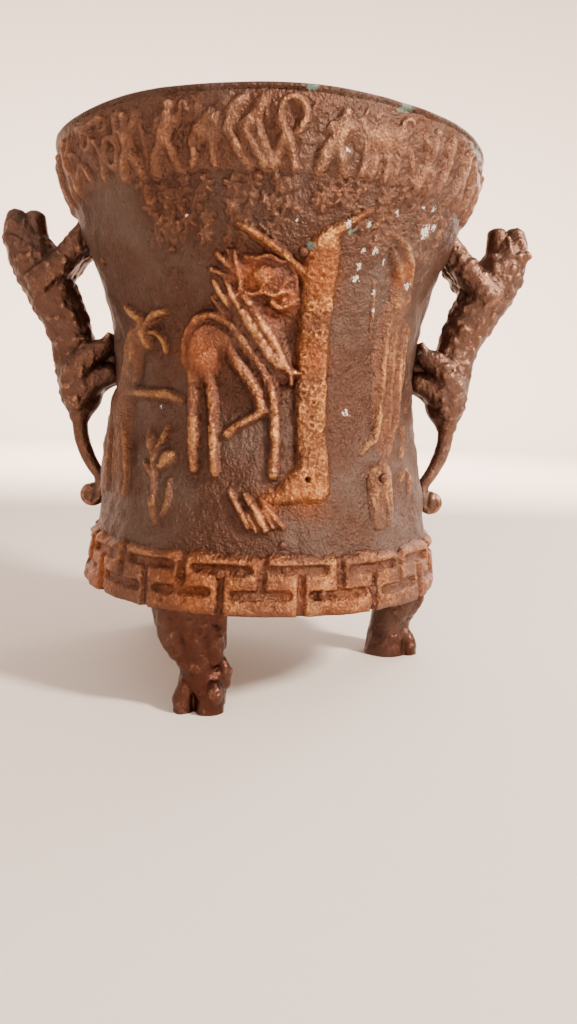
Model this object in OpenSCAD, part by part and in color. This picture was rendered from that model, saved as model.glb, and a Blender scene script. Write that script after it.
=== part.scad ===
// Footed brass planter pot: a waisted cast vessel on three clawed legs, with a
// key band round its foot, a frieze of small figures under its rim, applied
// giraffes, trees and plants on its wall, and two climbing leopards as handles.
//
// The origin is on the floor under the centre of the pot and +Z is up. The
// front scene faces -Y and the leopards climb the wall at +X and -X. A place on
// the wall is [azimuth, height]: the azimuth runs from -Y towards +X in degrees.

/* [Vessel] */
// Height of the rim above the floor
total_h = 243.5; // [240:0.5:246]
// Outside radius of the rim lip
rim_r = 100; // [98:0.5:102]
// Outside radius of the wall at its lower edge
base_r = 85; // [83:0.5:87]
// Outside radius of the waist
waist_r = 71.8; // [69:0.1:74]
// Height of the waist above the floor
waist_z = 140; // [136:1:144]
// Thickness of the cast wall
wall_t = 3.5; // [2.5:0.5:5]
// Thickness of the floor plate
floor_t = 4; // [3:0.5:6]

/* [Bands] */
// Height of the key band
key_band_h = 26; // [24:0.5:27]
// How far the key band stands out from the wall
key_band_out = 3; // [2.5:0.5:4]
// Depth of the key pattern's grooves
key_groove = 2; // [1:0.5:2]
// Number of key repeats round the foot
key_repeats = 16; // [12:2:20]
// Height of the frieze band
frieze_h = 22; // [18:1:22]
// How far the frieze band stands out from the wall
frieze_out = 1.6; // [1:0.2:2.4]
// How far the frieze figures stand out from their band
figure_out = 1.6; // [1:0.2:2.4]

/* [Legs] */
// Height of the legs, from the floor to the underside of the wall
leg_h = 45; // [44:0.5:46]
// Radius of the circle that the legs stand on
leg_circle_r = 68; // [64:0.5:70]
// Azimuth of the front leg
leg_azimuth = -21; // [-24:1:-18]
// Width of a leg at its middle
leg_w = 22; // [19:0.5:24]

/* [Reliefs] */
// How far the animals stand out from the wall
animal_out = 4.5; // [3:0.5:6]
// How far the trees stand out from the wall
tree_out = 3.5; // [2.5:0.5:5]
// How far leaves and grass stand out from the wall
leaf_out = 2.5; // [1.5:0.5:4]
// Radius of a core pin's round head
pin_r = 2.4; // [1.8:0.1:3]

/* [Handles] */
// How much the leopards' limbs are thickened or thinned
limb_scale = 1; // [0.9:0.05:1.1]

/* [Hidden] */

$fn = 96;
rear_turn = 180;             // the rear scene is the front one, turned half way
lip_h = 5.5;                 // height of the smooth lip over the frieze
floor_gap = 0.5;             // floor plate's lower face over the wall's foot
frieze_z = total_h - lip_h - frieze_h;
key_pitch = 360 / key_repeats;
key_stem_w = 6;
key_bar_w = key_pitch * 0.93; // in millimetres, so that neighbours stay apart
key_bar_t = 4.8;
key_low_z = leg_h + 6.5;     // lower edge of a standing T's bar
key_high_z = leg_h + 16.5;   // lower edge of a hanging T's bar
reach = 130;                 // longer than any radius, for cutting tools

// Outside radius at a few heights, from foot to lip, joined by a smooth curve
lip_in = frieze_out;
profile = [
    [leg_h - 20, base_r + 1.5],
    [leg_h, base_r],
    [leg_h + 27, base_r - 3.5],
    [waist_z - 39, waist_r + 5.4],
    [waist_z - 14, waist_r + 0.9],
    [waist_z + 12, waist_r + 0.5],
    [waist_z + 40, waist_r + 6.1],
    [waist_z + 64, waist_r + 15],
    [total_h - 24, rim_r - 7.5],
    [total_h, rim_r - lip_in],
    [total_h + 20, rim_r + 1]
];
profile_step = 9;            // height of one straight piece of the wall's curve

// Catmull-Rom curve between b and c, at t from 0 to 1
function curve(a, b, c, d, t) =
    0.5 * (2 * b + (c - a) * t + (2 * a - 5 * b + 4 * c - d) * t * t
           + (3 * b - a - 3 * c + d) * t * t * t);

// Index of the profile stretch that holds height z
function stretch(z, i = 1) =
    (i >= len(profile) - 3 || z < profile[i + 1][0]) ? i : stretch(z, i + 1);

// Outside radius of the wall at height z
function wall_r(z) =
    let (i = stretch(z), b = profile[i], c = profile[i + 1])
    curve(profile[i - 1][1], b[1], c[1], profile[i + 2][1],
          (z - b[0]) / (c[0] - b[0]));

// Heights at which the wall's curve is broken into straight pieces
wall_steps = round((total_h - leg_h) / profile_step);
wall_zs = [for (i = [0 : wall_steps]) leg_h + (total_h - leg_h) * i / wall_steps];

// Straight-piece radius at z, so that reliefs sit on the wall's true surface
function facet_r(z) =
    let (span = (total_h - leg_h) / wall_steps,
         i = min(wall_steps - 1, max(0, floor((z - leg_h) / span))),
         t = (z - wall_zs[i]) / span)
    wall_r(wall_zs[i]) * (1 - t) + wall_r(wall_zs[i + 1]) * t;

// Wall outline points from z0 to z1, pushed out by d
function skin_line(z0, z1, d) = concat(
    [[facet_r(z0) + d, z0]],
    [for (z = wall_zs) if (z > z0 + 0.01 && z < z1 - 0.01) [facet_r(z) + d, z]],
    [[facet_r(z1) + d, z1]]
);

function reversed(v) = [for (i = [len(v) - 1 : -1 : 0]) v[i]];

// A revolved skin between two distances from the wall's outer surface
module skin(z0, z1, inner, outer)
    rotate_extrude()
        polygon(concat(skin_line(z0, z1, inner), reversed(skin_line(z0, z1, outer))));

// Everything inside the wall's outer surface
module wall_core()
    rotate_extrude()
        polygon(concat([[0, leg_h]], skin_line(leg_h, total_h, 0), [[0, total_h]]));

// Turns what is drawn for azimuth 0 to another azimuth
module at_azimuth(a)
    rotate([0, 0, a]) children();

// Flat drawing space seen from outside at azimuth centre: [azimuth, z] to [x, z]
function flat(p, centre) = [facet_r(p[1]) * sin(p[0] - centre), p[1]];

// Unit direction of a path at point i
function heading(p, i) =
    let (a = p[max(0, i - 1)], b = p[min(len(p) - 1, i + 1)], d = b - a)
    d / norm(d);

// One side of a ribbon along path p with widths w
function ribbon_side(p, w, s) =
    [for (i = [0 : len(p) - 1])
        let (h = heading(p, i)) p[i] + s * w[i] / 2 * [-h[1], h[0]]];

// The cut-corner end of a ribbon at point i, beyond it for s = 1, before it for -1
function ribbon_end(p, w, i, s) =
    let (h = heading(p, i) * s, n = [-h[1], h[0]])
    [p[i] + w[i] * (0.35 * h + 0.28 * n), p[i] + w[i] * (0.35 * h - 0.28 * n)];

// A smoothed path through the given points, with n pieces to each stretch
function smooth_path(p, n = 2) = [
    for (i = [0 : len(p) - 2], k = [0 : n - 1])
        curve(p[max(0, i - 1)], p[i], p[i + 1], p[min(len(p) - 1, i + 2)], k / n),
    p[len(p) - 1]
];

// A limb or branch: points are [azimuth, z, width], with blunt ends
module stroke(points, centre) {
    path = smooth_path([for (q = points) concat(flat(q, centre), [q[2]])]);
    line = [for (q = path) [q[0], q[1]]];
    wide = [for (q = path) q[2]];
    polygon(concat(
        ribbon_side(line, wide, 1), ribbon_end(line, wide, len(line) - 1, 1),
        reversed(ribbon_side(line, wide, -1)), ribbon_end(line, wide, 0, -1)));
}

// A flat drawing made a relief on the wall, standing out by height
module relief(centre, height, z0 = leg_h, z1 = total_h)
    intersection() {
        at_azimuth(centre)
            rotate([90, 0, 0])
                linear_extrude(reach)
                    children();
        skin(z0, z1, 0, height);
    }

// ---------------------------------------------------------------- vessel

module vessel_wall()
    color("#8a5a40")
    rotate_extrude()
        polygon(concat(
            [[base_r - wall_t, leg_h]],
            skin_line(leg_h, total_h - lip_h, 0),
            [[facet_r(total_h - lip_h) + frieze_out, total_h - lip_h],
             [rim_r - 0.3, total_h - lip_h + 1],
             [rim_r, total_h - lip_h / 2],
             [rim_r - 0.6, total_h - 0.8],
             [rim_r - 1.8, total_h],
             [rim_r - wall_t - 0.6, total_h],
             [rim_r - wall_t - 1.6, total_h - 0.9]],
            reversed(skin_line(leg_h + 0.5, total_h - lip_h, -wall_t))));

module floor_plate()
    color("#6f4630")
    translate([0, 0, leg_h + floor_gap])
        cylinder(r = facet_r(leg_h + floor_t + floor_gap) - wall_t - 0.05, h = floor_t);

// ---------------------------------------------------------------- bands

// One bar of the key pattern's groove at azimuth a, deep enough to pass the straps
module key_bar(a, width, z0, z1)
    at_azimuth(a)
        translate([-width / 2, -reach, z0])
            cube([width, reach - waist_r, z1 - z0]);

// The band is a ring of straps on a thin ground, parted by interlocking T-shaped
// grooves: one T stands on its bar and opens at the top, the next hangs and
// opens at the bottom
module key_band() {
    top_z = leg_h + key_band_h;
    ground = key_band_out - key_groove;
    color("#a8663f") {
        skin(leg_h, top_z, 0, ground);
        difference() {
            skin(leg_h, top_z, ground, key_band_out);
            for (i = [0 : key_repeats - 1]) {
                key_bar(i * key_pitch, key_stem_w, key_low_z, top_z + 1);
                key_bar(i * key_pitch, key_bar_w, key_low_z, key_low_z + key_bar_t);
                key_bar((i + 0.5) * key_pitch, key_stem_w, leg_h - 1, key_high_z + 1);
                key_bar((i + 0.5) * key_pitch, key_bar_w, key_high_z, key_high_z + key_bar_t);
            }
        }
    }
}

module frieze_band()
    color("#9a6244")
    skin(frieze_z, frieze_z + frieze_h, 0, frieze_out);

// A small striding figure with raised arms, feet at z and centred on azimuth a
module small_figure(a, z) {
    stroke([[a - 2.6, z + 0.5, 1.6], [a - 1.2, z + 5.5, 1.8], [a, z + 9, 2]], a);
    stroke([[a + 2.6, z + 0.5, 1.6], [a + 1.2, z + 5.5, 1.8], [a, z + 9, 2]], a);
    stroke([[a, z + 8.5, 2.2], [a, z + 15, 2.8]], a);
    stroke([[a - 2.6, z + 17, 1.4], [a, z + 13.8, 1.6], [a + 2.8, z + 16, 1.4]], a);
    stroke([[a, z + 16.6, 3], [a, z + 17.8, 2.8]], a);
}

// A small four-legged beast with its head up at the left
module small_beast(a, z) {
    stroke([[a - 5, z + 9, 3.5], [a, z + 10, 5], [a + 5, z + 9, 4]], a);
    stroke([[a - 5, z + 10, 2.4], [a - 6.4, z + 15, 2.4], [a - 8, z + 15.5, 1.8]], a);
    for (x = [-5, -2.6, 2.6, 5])
        stroke([[a + x, z + 8, 1.8], [a + x * 1.1, z + 0.5, 1.6]], a);
}

module frieze_procession() {
    figure_places = [-62, -35, -22, 14, 46, 74];
    beast_places = [-48, -8, 29, 60];
    color("#c08055")
        for (turn = [0, rear_turn]) {
            for (a = figure_places) frieze_piece(a + turn) small_figure(0, frieze_z + 1);
            for (a = beast_places) frieze_piece(a + turn) small_beast(0, frieze_z + 1);
        }
}

// Sets one small drawing on the face of the frieze band
module frieze_piece(a)
    intersection() {
        at_azimuth(a)
            rotate([90, 0, 0])
                linear_extrude(reach)
                    children();
        skin(frieze_z, frieze_z + frieze_h, frieze_out, frieze_out + figure_out);
    }

// ---------------------------------------------------------------- handles

// A rounded link between two balls, each given as [x, y, z, radius]
module link(a, b)
    hull()
        for (p = [a, b])
            translate([p[0], p[1], p[2]])
                sphere(r = p[3] * limb_scale, $fn = 14);

// A chain of links through a list of balls
module chain(balls)
    for (i = [0 : len(balls) - 2])
        link(balls[i], balls[i + 1]);

// A leopard that climbs the wall at +X, its hind paws and tail on the waist and
// its fore paws and open jaws by the rim
module leopard()
    color("#8c5a45")
    difference() {
        union() {
            // body from rump to neck
            chain([[90.5, 0, 133, 9.6], [93.5, 0, 150, 8.6], [96.5, 0, 163, 8.6],
                   [100.5, 0, 176, 9.6], [107.5, 0, 189, 11], [113.5, 0, 199, 10.6]]);
            // skull, upper jaw and lower jaw
            chain([[113.5, 0, 199, 10.6], [118.5, 0, 206.5, 8.6], [121.5, 0, 215.8, 4.2]]);
            link([112.5, 0, 204, 6.6], [112.3, 0, 215.2, 4.2]);
            for (side = [-1, 1]) {
                // ears
                link([122, side * 5.5, 204, 3.6], [124.4, side * 7, 207, 2.8]);
                // fore legs and paws
                chain([[104, side * 5, 193, 6], [97, side * 6, 199.5, 5.2],
                       [91.5, side * 6, 210, 5.2]]);
                // hind legs and paws
                chain([[88, side * 4, 137, 7.5], [84, side * 6.5, 151, 5.8],
                       [76.5, side * 6, 154, 6]]);
            }
            // tail, ending in a curl against the wall
            chain([[91.8, 0, 124, 5.2], [91.4, 0, 113, 4.2], [89.5, 0, 104, 3.9],
                   [85, 0, 96.5, 3.8], [82.3, 0, 91, 3.6], [85, 0, 84.8, 4.6]]);
        }
        wall_core();
    }

module leopard_right() leopard();

module leopard_left() mirror([1, 0, 0]) leopard();

// ---------------------------------------------------------------- legs

// A leg with a flared bracket on top, two knee lumps, a cuff and a clawed foot.
// Local -Y is outwards, and the sole is flat
module leg() {
    bracket_w = 33;
    toe_x = 5.6;
    sole_t = 2;
    color("#7c4c36") {
        // bracket under the wall
        hull() {
            translate([0, 0, leg_h - 3]) linear_extrude(3) square([bracket_w, 18], center = true);
            translate([0, -1, leg_h - 12]) cylinder(d = leg_w, h = 2, $fn = 32);
        }
        // shank
        translate([0, -1, 6]) cylinder(d1 = leg_w - 3, d2 = leg_w, h = leg_h - 16);
        // knee lumps
        for (x = [-6, 6]) translate([x, -8, leg_h - 13]) sphere(r = 5.5, $fn = 32);
        // cuff over the foot
        translate([0, -1, 11]) cylinder(d = leg_w + 0.5, h = 3);
        // foot with two toes
        hull() {
            translate([0, 0, sole_t]) cylinder(r = leg_w / 2, h = 6, $fn = 32);
            for (x = [-toe_x, toe_x]) translate([x, -8, sole_t]) cylinder(r = 6, h = 4, $fn = 32);
        }
        linear_extrude(sole_t) {
            circle(r = leg_w / 2);
            for (x = [-toe_x, toe_x]) translate([x, -8]) circle(r = 6);
        }
    }
}

// Sets a leg on its circle, a third of a turn from the next
module leg_at(i)
    at_azimuth(leg_azimuth + i * 120)
        translate([0, -leg_circle_r, 0])
            leg();

module leg_front() leg_at(0);

module leg_right() leg_at(1);

module leg_rear() leg_at(2);

// ---------------------------------------------------------------- reliefs

// The grown giraffe: arched back, straight and bent legs, long neck to the right
module giraffe_adult() {
    c = -10;
    color("#c98a5e")
        relief(c, animal_out) {
            stroke([[-26, 145, 11], [-24, 155, 15], [-20, 160, 15]], c);
            stroke([[-21, 158, 16], [-11, 152, 13]], c);
            stroke([[-25, 146, 9], [-24.5, 125, 6], [-24, 103, 6]], c);
            stroke([[-18.5, 150, 8], [-17.5, 125, 6], [-17, 102, 6]], c);
            stroke([[-14, 160, 9], [-8, 155, 8], [0, 140, 7]], c);
            stroke([[-0.5, 141, 7], [3, 126, 6], [3, 101, 6]], c);
            stroke([[-11, 146, 7], [-4, 136, 6], [0, 126, 6]], c);
            stroke([[0.5, 127, 6], [-6, 121, 5.4], [-12, 118, 6]], c);
            stroke([[-11, 170, 11], [-4, 163, 10], [3, 152, 9], [9, 143, 6]], c);
            stroke([[-12, 172, 5], [-15, 178, 4]], c);
            stroke([[-8, 170, 5], [-6, 177, 4]], c);
            stroke([[-4, 170, 7], [0, 180, 11], [6, 184, 9]], c);
        }
}

// The giraffe calf to the left, with spread ears and a stepping leg
module giraffe_calf() {
    c = -52;
    color("#b5734b")
        relief(c, animal_out) {
            stroke([[-45, 163, 8], [-42, 155, 9], [-39, 149, 7]], c);
            stroke([[-46, 167, 6], [-51, 170, 7], [-53, 167, 4]], c);
            stroke([[-42, 167, 6], [-37, 169, 7], [-34, 165, 4]], c);
            stroke([[-47, 162, 9], [-53, 150, 10], [-58, 138, 12]], c);
            stroke([[-58, 134, 16], [-65, 130, 18], [-71, 127, 13]], c);
            stroke([[-55, 134, 9], [-42, 133, 7], [-29, 133, 6]], c);
            for (a = [-74, -66, -57, -50])
                stroke([[a, 124, 7], [a + 0.8, 108, 5.5], [a, 91, 5.5]], c);
        }
}

// The tree in the middle: bare trunk on a spreading root, forked into two
module tree_centre() {
    c = 12;
    color("#a06a48")
        relief(c, tree_out) {
            stroke([[14, 93, 16], [14.5, 110, 12], [15, 150, 12], [14.5, 178, 14]], c);
            stroke([[14, 98, 10], [8, 95, 8], [3.5, 94, 6]], c);
            stroke([[13, 178, 9], [6, 188, 7], [-2, 193, 6], [-8, 197, 5]], c);
            stroke([[15, 178, 9], [20, 193, 7], [27, 205, 5]], c);
        }
}

// The second tree at the right, a ribbed trunk with a bent crown on a block
module tree_side() {
    c = 46;
    color("#a06a48")
        relief(c, tree_out) {
            stroke([[43, 108, 5], [43.5, 150, 5], [42, 185, 5]], c);
            stroke([[48.5, 108, 6], [48.5, 150, 6], [47, 190, 6]], c);
            stroke([[54, 112, 5], [54, 150, 5], [52, 186, 5]], c);
            stroke([[38, 186, 6], [44, 194, 8], [51, 192, 7]], c);
            stroke([[34, 111, 5], [39, 117, 5], [43, 122, 5]], c);
            stroke([[36.5, 91, 16], [44, 91, 16]], c);
        }
}

// Grass blades in a claw-like tuft between the legs of the grown giraffe
module grass() {
    c = -3;
    color("#b5734b")
        relief(c, leaf_out)
            for (i = [-2 : 2])
                stroke([[c + i * 1.6, 95, 4], [c + i * 2.6, 88, 3.5],
                        [c + i * 3.4, 81.5, 2]], c);
}

// The broad-leaved plant at the left of the foot
module leaf_plant() {
    c = -35;
    color("#b5734b")
        relief(c, leaf_out) {
            stroke([[-35, 81, 4], [-35, 98, 4], [-33, 112, 3]], c);
            for (side = [-1, 1]) {
                stroke([[-35, 84, 3], [-35 + side * 3.5, 92, 6],
                        [-35 + side * 6, 99, 2]], c);
                stroke([[-35, 95, 3], [-35 + side * 3, 103, 6],
                        [-35 + side * 5.5, 110, 2]], c);
            }
        }
}

// Star-shaped leaf sprays of the tree crowns, just under the frieze
module leaf_sprays() {
    places = [[-17, 204], [-3, 205], [9, 207], [22, 207], [36, 205], [50, 205]];
    color("#b5734b")
        for (p = places)
            relief(p[0], leaf_out)
                for (k = [0 : 4])
                    stroke([[p[0], p[1], 3],
                            [p[0] + 4 * sin(k * 72), p[1] + 6 * cos(k * 72), 2]], p[0]);
}

module giraffe_adult_front() giraffe_adult();
module giraffe_calf_front() giraffe_calf();
module tree_centre_front() tree_centre();
module tree_side_front() tree_side();
module grass_front() grass();
module leaf_plant_front() leaf_plant();
module leaf_sprays_front() leaf_sprays();
module giraffe_adult_rear() at_azimuth(rear_turn) giraffe_adult();
module giraffe_calf_rear() at_azimuth(rear_turn) giraffe_calf();
module tree_centre_rear() at_azimuth(rear_turn) tree_centre();
module tree_side_rear() at_azimuth(rear_turn) tree_side();
module grass_rear() at_azimuth(rear_turn) grass();
module leaf_plant_rear() at_azimuth(rear_turn) leaf_plant();
module leaf_sprays_rear() at_azimuth(rear_turn) leaf_sprays();

// Lean of the wall at height z, from upright, positive where it leans outwards
function lean(z) = atan((facet_r(z + 1) - facet_r(z - 1)) / 2);

// The round head of one pin, its flat face on the wall
module pin_head()
    rotate_extrude()
        intersection() {
            translate([0, -0.3 * pin_r]) circle(r = pin_r);
            square(pin_r);
        }

// Heads of the pins that held the casting core, each given as azimuth, height and
// how far its seat stands out from the wall
module core_pins() {
    on_band = key_band_out;
    in_groove = key_band_out - key_groove;
    places = [[-3, 213.2, 0], [9.5, 188, tree_out], [40, 91, tree_out], [63, 129, 0],
              [-28, 190, 0], [6, 75, 0], [11.25, key_high_z + key_bar_t / 2, in_groove],
              [-11.25, 54.5, in_groove], [28, 75, 0], [-62, 190, 0]];
    color("#b98a68")
        for (turn = [0, rear_turn], p = places)
            at_azimuth(p[0] + turn)
                translate([0, -facet_r(p[1]) - p[2], p[1]])
                    rotate([90 + lean(p[1]), 0, 0])
                        pin_head();
}

// ---------------------------------------------------------------- drawing

vessel_wall();
floor_plate();
key_band();
frieze_band();
frieze_procession();
leopard_right();
leopard_left();
leg_front();
leg_right();
leg_rear();
giraffe_adult_front();
giraffe_calf_front();
tree_centre_front();
tree_side_front();
grass_front();
leaf_plant_front();
leaf_sprays_front();
giraffe_adult_rear();
giraffe_calf_rear();
tree_centre_rear();
tree_side_rear();
grass_rear();
leaf_plant_rear();
leaf_sprays_rear();
core_pins();
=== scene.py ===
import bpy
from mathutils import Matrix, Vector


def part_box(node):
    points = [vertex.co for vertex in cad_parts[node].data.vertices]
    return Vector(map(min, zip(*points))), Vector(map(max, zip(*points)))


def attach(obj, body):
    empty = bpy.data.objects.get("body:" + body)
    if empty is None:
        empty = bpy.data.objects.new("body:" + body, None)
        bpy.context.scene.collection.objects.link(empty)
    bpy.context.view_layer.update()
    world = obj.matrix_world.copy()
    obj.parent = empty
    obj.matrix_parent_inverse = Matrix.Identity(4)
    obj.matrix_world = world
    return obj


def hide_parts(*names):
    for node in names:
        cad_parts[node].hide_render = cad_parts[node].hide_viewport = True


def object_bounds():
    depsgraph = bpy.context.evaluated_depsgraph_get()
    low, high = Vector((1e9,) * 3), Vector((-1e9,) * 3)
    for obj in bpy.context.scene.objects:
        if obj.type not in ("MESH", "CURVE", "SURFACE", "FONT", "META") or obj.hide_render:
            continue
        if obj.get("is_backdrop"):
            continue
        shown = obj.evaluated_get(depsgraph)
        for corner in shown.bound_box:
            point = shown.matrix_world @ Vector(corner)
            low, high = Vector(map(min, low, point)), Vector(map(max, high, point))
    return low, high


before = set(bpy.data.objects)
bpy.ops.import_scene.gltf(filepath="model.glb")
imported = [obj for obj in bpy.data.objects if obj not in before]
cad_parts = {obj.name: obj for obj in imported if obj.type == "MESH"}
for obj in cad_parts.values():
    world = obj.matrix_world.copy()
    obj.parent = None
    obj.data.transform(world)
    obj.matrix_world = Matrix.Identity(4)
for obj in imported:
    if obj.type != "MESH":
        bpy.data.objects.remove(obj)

"""Looks of a footed brass planter pot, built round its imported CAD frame.

The pot is lost-wax cast ware: a waisted wall with a key band at its foot, a
frieze of small figures under its lip, raised animals and trees on the wall, two
climbing leopards as handles and three clawed legs. Sizes are in millimetres and
become metres when a mesh is placed. A place on the wall is an azimuth in
degrees, from -Y towards +X, and a height over the floor.
"""
import logging
import math
from dataclasses import dataclass, field
from enum import Enum
from itertools import product
from typing import Callable, Iterable, Sequence

import bpy
import numpy as np
from mathutils import Matrix, Vector
from mathutils.kdtree import KDTree

LOG = logging.getLogger("planter")
MM = 0.001
BODY = "root"
CAD_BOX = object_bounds()
SKIN_GRID = (720, 340)       # half degrees round the pot, and steps up it
SKIN_STEP = 0.7              # millimetres
Array = np.ndarray
Knot = tuple[float, ...]
Socket = bpy.types.NodeSocket


# ------------------------------------------------------------------ small tools


def box_mm(node: str) -> tuple[Array, Array]:
    """Lowest and highest corners of a CAD node, in millimetres.

    Args:
        node: the CAD node's name.

    Returns:
        Two arrays of three numbers.
    """
    low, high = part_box(node)
    return np.array(low) / MM, np.array(high) / MM


def curve_through(knots: Sequence[Knot], pieces: int) -> Array:
    """Smooth path through knots of any number of values.

    Args:
        knots: points, each with the same number of values.
        pieces: straight pieces to each stretch between two knots.

    Returns:
        One row per point of the path.
    """
    p = np.array(knots, dtype=float)
    p = np.vstack([p[0], p, p[-1]])
    rows = []
    for i in range(1, len(p) - 2):
        a, b, c, d = p[i - 1:i + 3]
        for t in np.arange(pieces) / pieces:
            rows.append(0.5 * (2 * b + (c - a) * t + (2 * a - 5 * b + 4 * c - d) * t ** 2
                               + (3 * b - a - 3 * c + d) * t ** 3))
    rows.append(p[-2])
    return np.array(rows)


def polar_mm(azimuth: Array, radius: Array, z: Array) -> Array:
    """Points round the pot's axis, from azimuth in degrees, radius and height."""
    turn = np.radians(azimuth)
    return np.stack([radius * np.sin(turn), -radius * np.cos(turn), z], axis=-1)


def azimuth_of(points: Array) -> Array:
    """Azimuth in degrees of each point round the pot's axis."""
    return np.degrees(np.arctan2(points[:, 0], -points[:, 1]))


def deselect() -> None:
    """Leaves edit mode and selects nothing."""
    if bpy.context.mode != "OBJECT":
        bpy.ops.object.mode_set(mode="OBJECT")
    bpy.ops.object.select_all(action="DESELECT")


def make_active(piece: bpy.types.Object) -> None:
    """Selects one object alone and makes it active.

    Args:
        piece: the object.
    """
    deselect()
    piece.select_set(True)
    bpy.context.view_layer.objects.active = piece


def points_of(piece: bpy.types.Object) -> Array:
    """A piece's points in millimetres, one row each.

    Args:
        piece: the object.

    Returns:
        An array of as many rows as the piece has points.
    """
    flat = np.empty(len(piece.data.vertices) * 3)
    piece.data.vertices.foreach_get("co", flat)
    return flat.reshape(-1, 3) / MM


def place_points(piece: bpy.types.Object, points: Array) -> None:
    """Moves a piece's points to places given in millimetres."""
    piece.data.vertices.foreach_set("co", (points * MM).ravel())
    piece.data.update()


def select_points(piece: bpy.types.Object, chosen: Array) -> None:
    """Selects only the chosen points of the active piece, and enters edit mode.

    Args:
        piece: the active object, in object mode.
        chosen: whether each point is chosen.
    """
    mesh = piece.data
    mesh.polygons.foreach_set("select", np.zeros(len(mesh.polygons), dtype=bool))
    mesh.edges.foreach_set("select", np.zeros(len(mesh.edges), dtype=bool))
    mesh.vertices.foreach_set("select", chosen.astype(bool))
    bpy.ops.object.mode_set(mode="EDIT")
    bpy.ops.mesh.select_mode(type="VERT")


def selected_points(piece: bpy.types.Object) -> Array:
    """Which points of a piece in object mode are selected.

    Args:
        piece: the object.

    Returns:
        One truth value per point.
    """
    chosen = np.empty(len(piece.data.vertices), dtype=bool)
    piece.data.vertices.foreach_get("select", chosen)
    return chosen


def tidy_shell(piece: bpy.types.Object, merge_mm: float = 0.0) -> None:
    """Merges doubled points if asked, and turns all faces outwards.

    Args:
        piece: a closed shell.
        merge_mm: points nearer than this become one; 0 merges none.
    """
    make_active(piece)
    bpy.ops.object.mode_set(mode="EDIT")
    bpy.ops.mesh.select_all(action="SELECT")
    if merge_mm > 0:
        bpy.ops.mesh.remove_doubles(threshold=merge_mm * MM)
    bpy.ops.mesh.normals_make_consistent(inside=False)
    bpy.ops.object.mode_set(mode="OBJECT")
    bpy.ops.object.shade_smooth()


def apply_modifier(piece: bpy.types.Object, kind: str, **settings: object) -> None:
    """Adds a modifier to a piece and applies it.

    Args:
        piece: the object.
        kind: Blender's name of the modifier type.
        **settings: the modifier's own settings.
    """
    make_active(piece)
    modifier = piece.modifiers.new(kind.lower(), kind)
    for name, value in settings.items():
        setattr(modifier, name, value)
    bpy.ops.object.modifier_apply(modifier=modifier.name)


def store(piece: bpy.types.Object, name: str, values: Array) -> None:
    """Keeps one number per point on the piece, for its material to read."""
    layer = piece.data.attributes.get(name) or piece.data.attributes.new(name, "FLOAT", "POINT")
    layer.data.foreach_set("value", values.astype(np.float32))


def fixed_to_pot(piece: bpy.types.Object, slot: str, *nodes: str) -> None:
    """Rides a piece on the pot, in place of CAD nodes.

    Args:
        piece: the finished object.
        slot: the record's material slot; not used.
        *nodes: the CAD nodes that it stands for.
    """
    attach(piece, BODY)
    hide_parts(*nodes)
    LOG.info("%s: %d faces", piece.name, len(piece.data.polygons))


# ------------------------------------------------------------------ finishes


def linear(hex_colour: str) -> tuple[float, float, float, float]:
    """The linear colour of an sRGB hex value such as "#c08055"."""
    parts = [int(hex_colour[i:i + 2], 16) / 255 for i in (1, 3, 5)]
    return (*[c / 12.92 if c <= 0.04045 else ((c + 0.055) / 1.055) ** 2.4 for c in parts], 1.0)


def per_metre(size_mm: float) -> float:
    """Texture scale at which one cell of a pattern measures size_mm."""
    return 1.0 / (size_mm * MM)


def add_node(tree: bpy.types.NodeTree, kind: str, inputs: dict | None = None,
             **settings: object) -> bpy.types.Node:
    """Adds one node to a tree.

    Args:
        tree: the node tree.
        kind: the node's type name.
        inputs: socket name or number to a constant, or to a socket to link from.
        **settings: the node's own properties.

    Returns:
        The new node.
    """
    node = tree.nodes.new(kind)
    for name, value in settings.items():
        setattr(node, name, value)
    for key, value in (inputs or {}).items():
        if isinstance(value, Socket):
            tree.links.new(value, node.inputs[key])
        else:
            node.inputs[key].default_value = value
    return node


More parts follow.
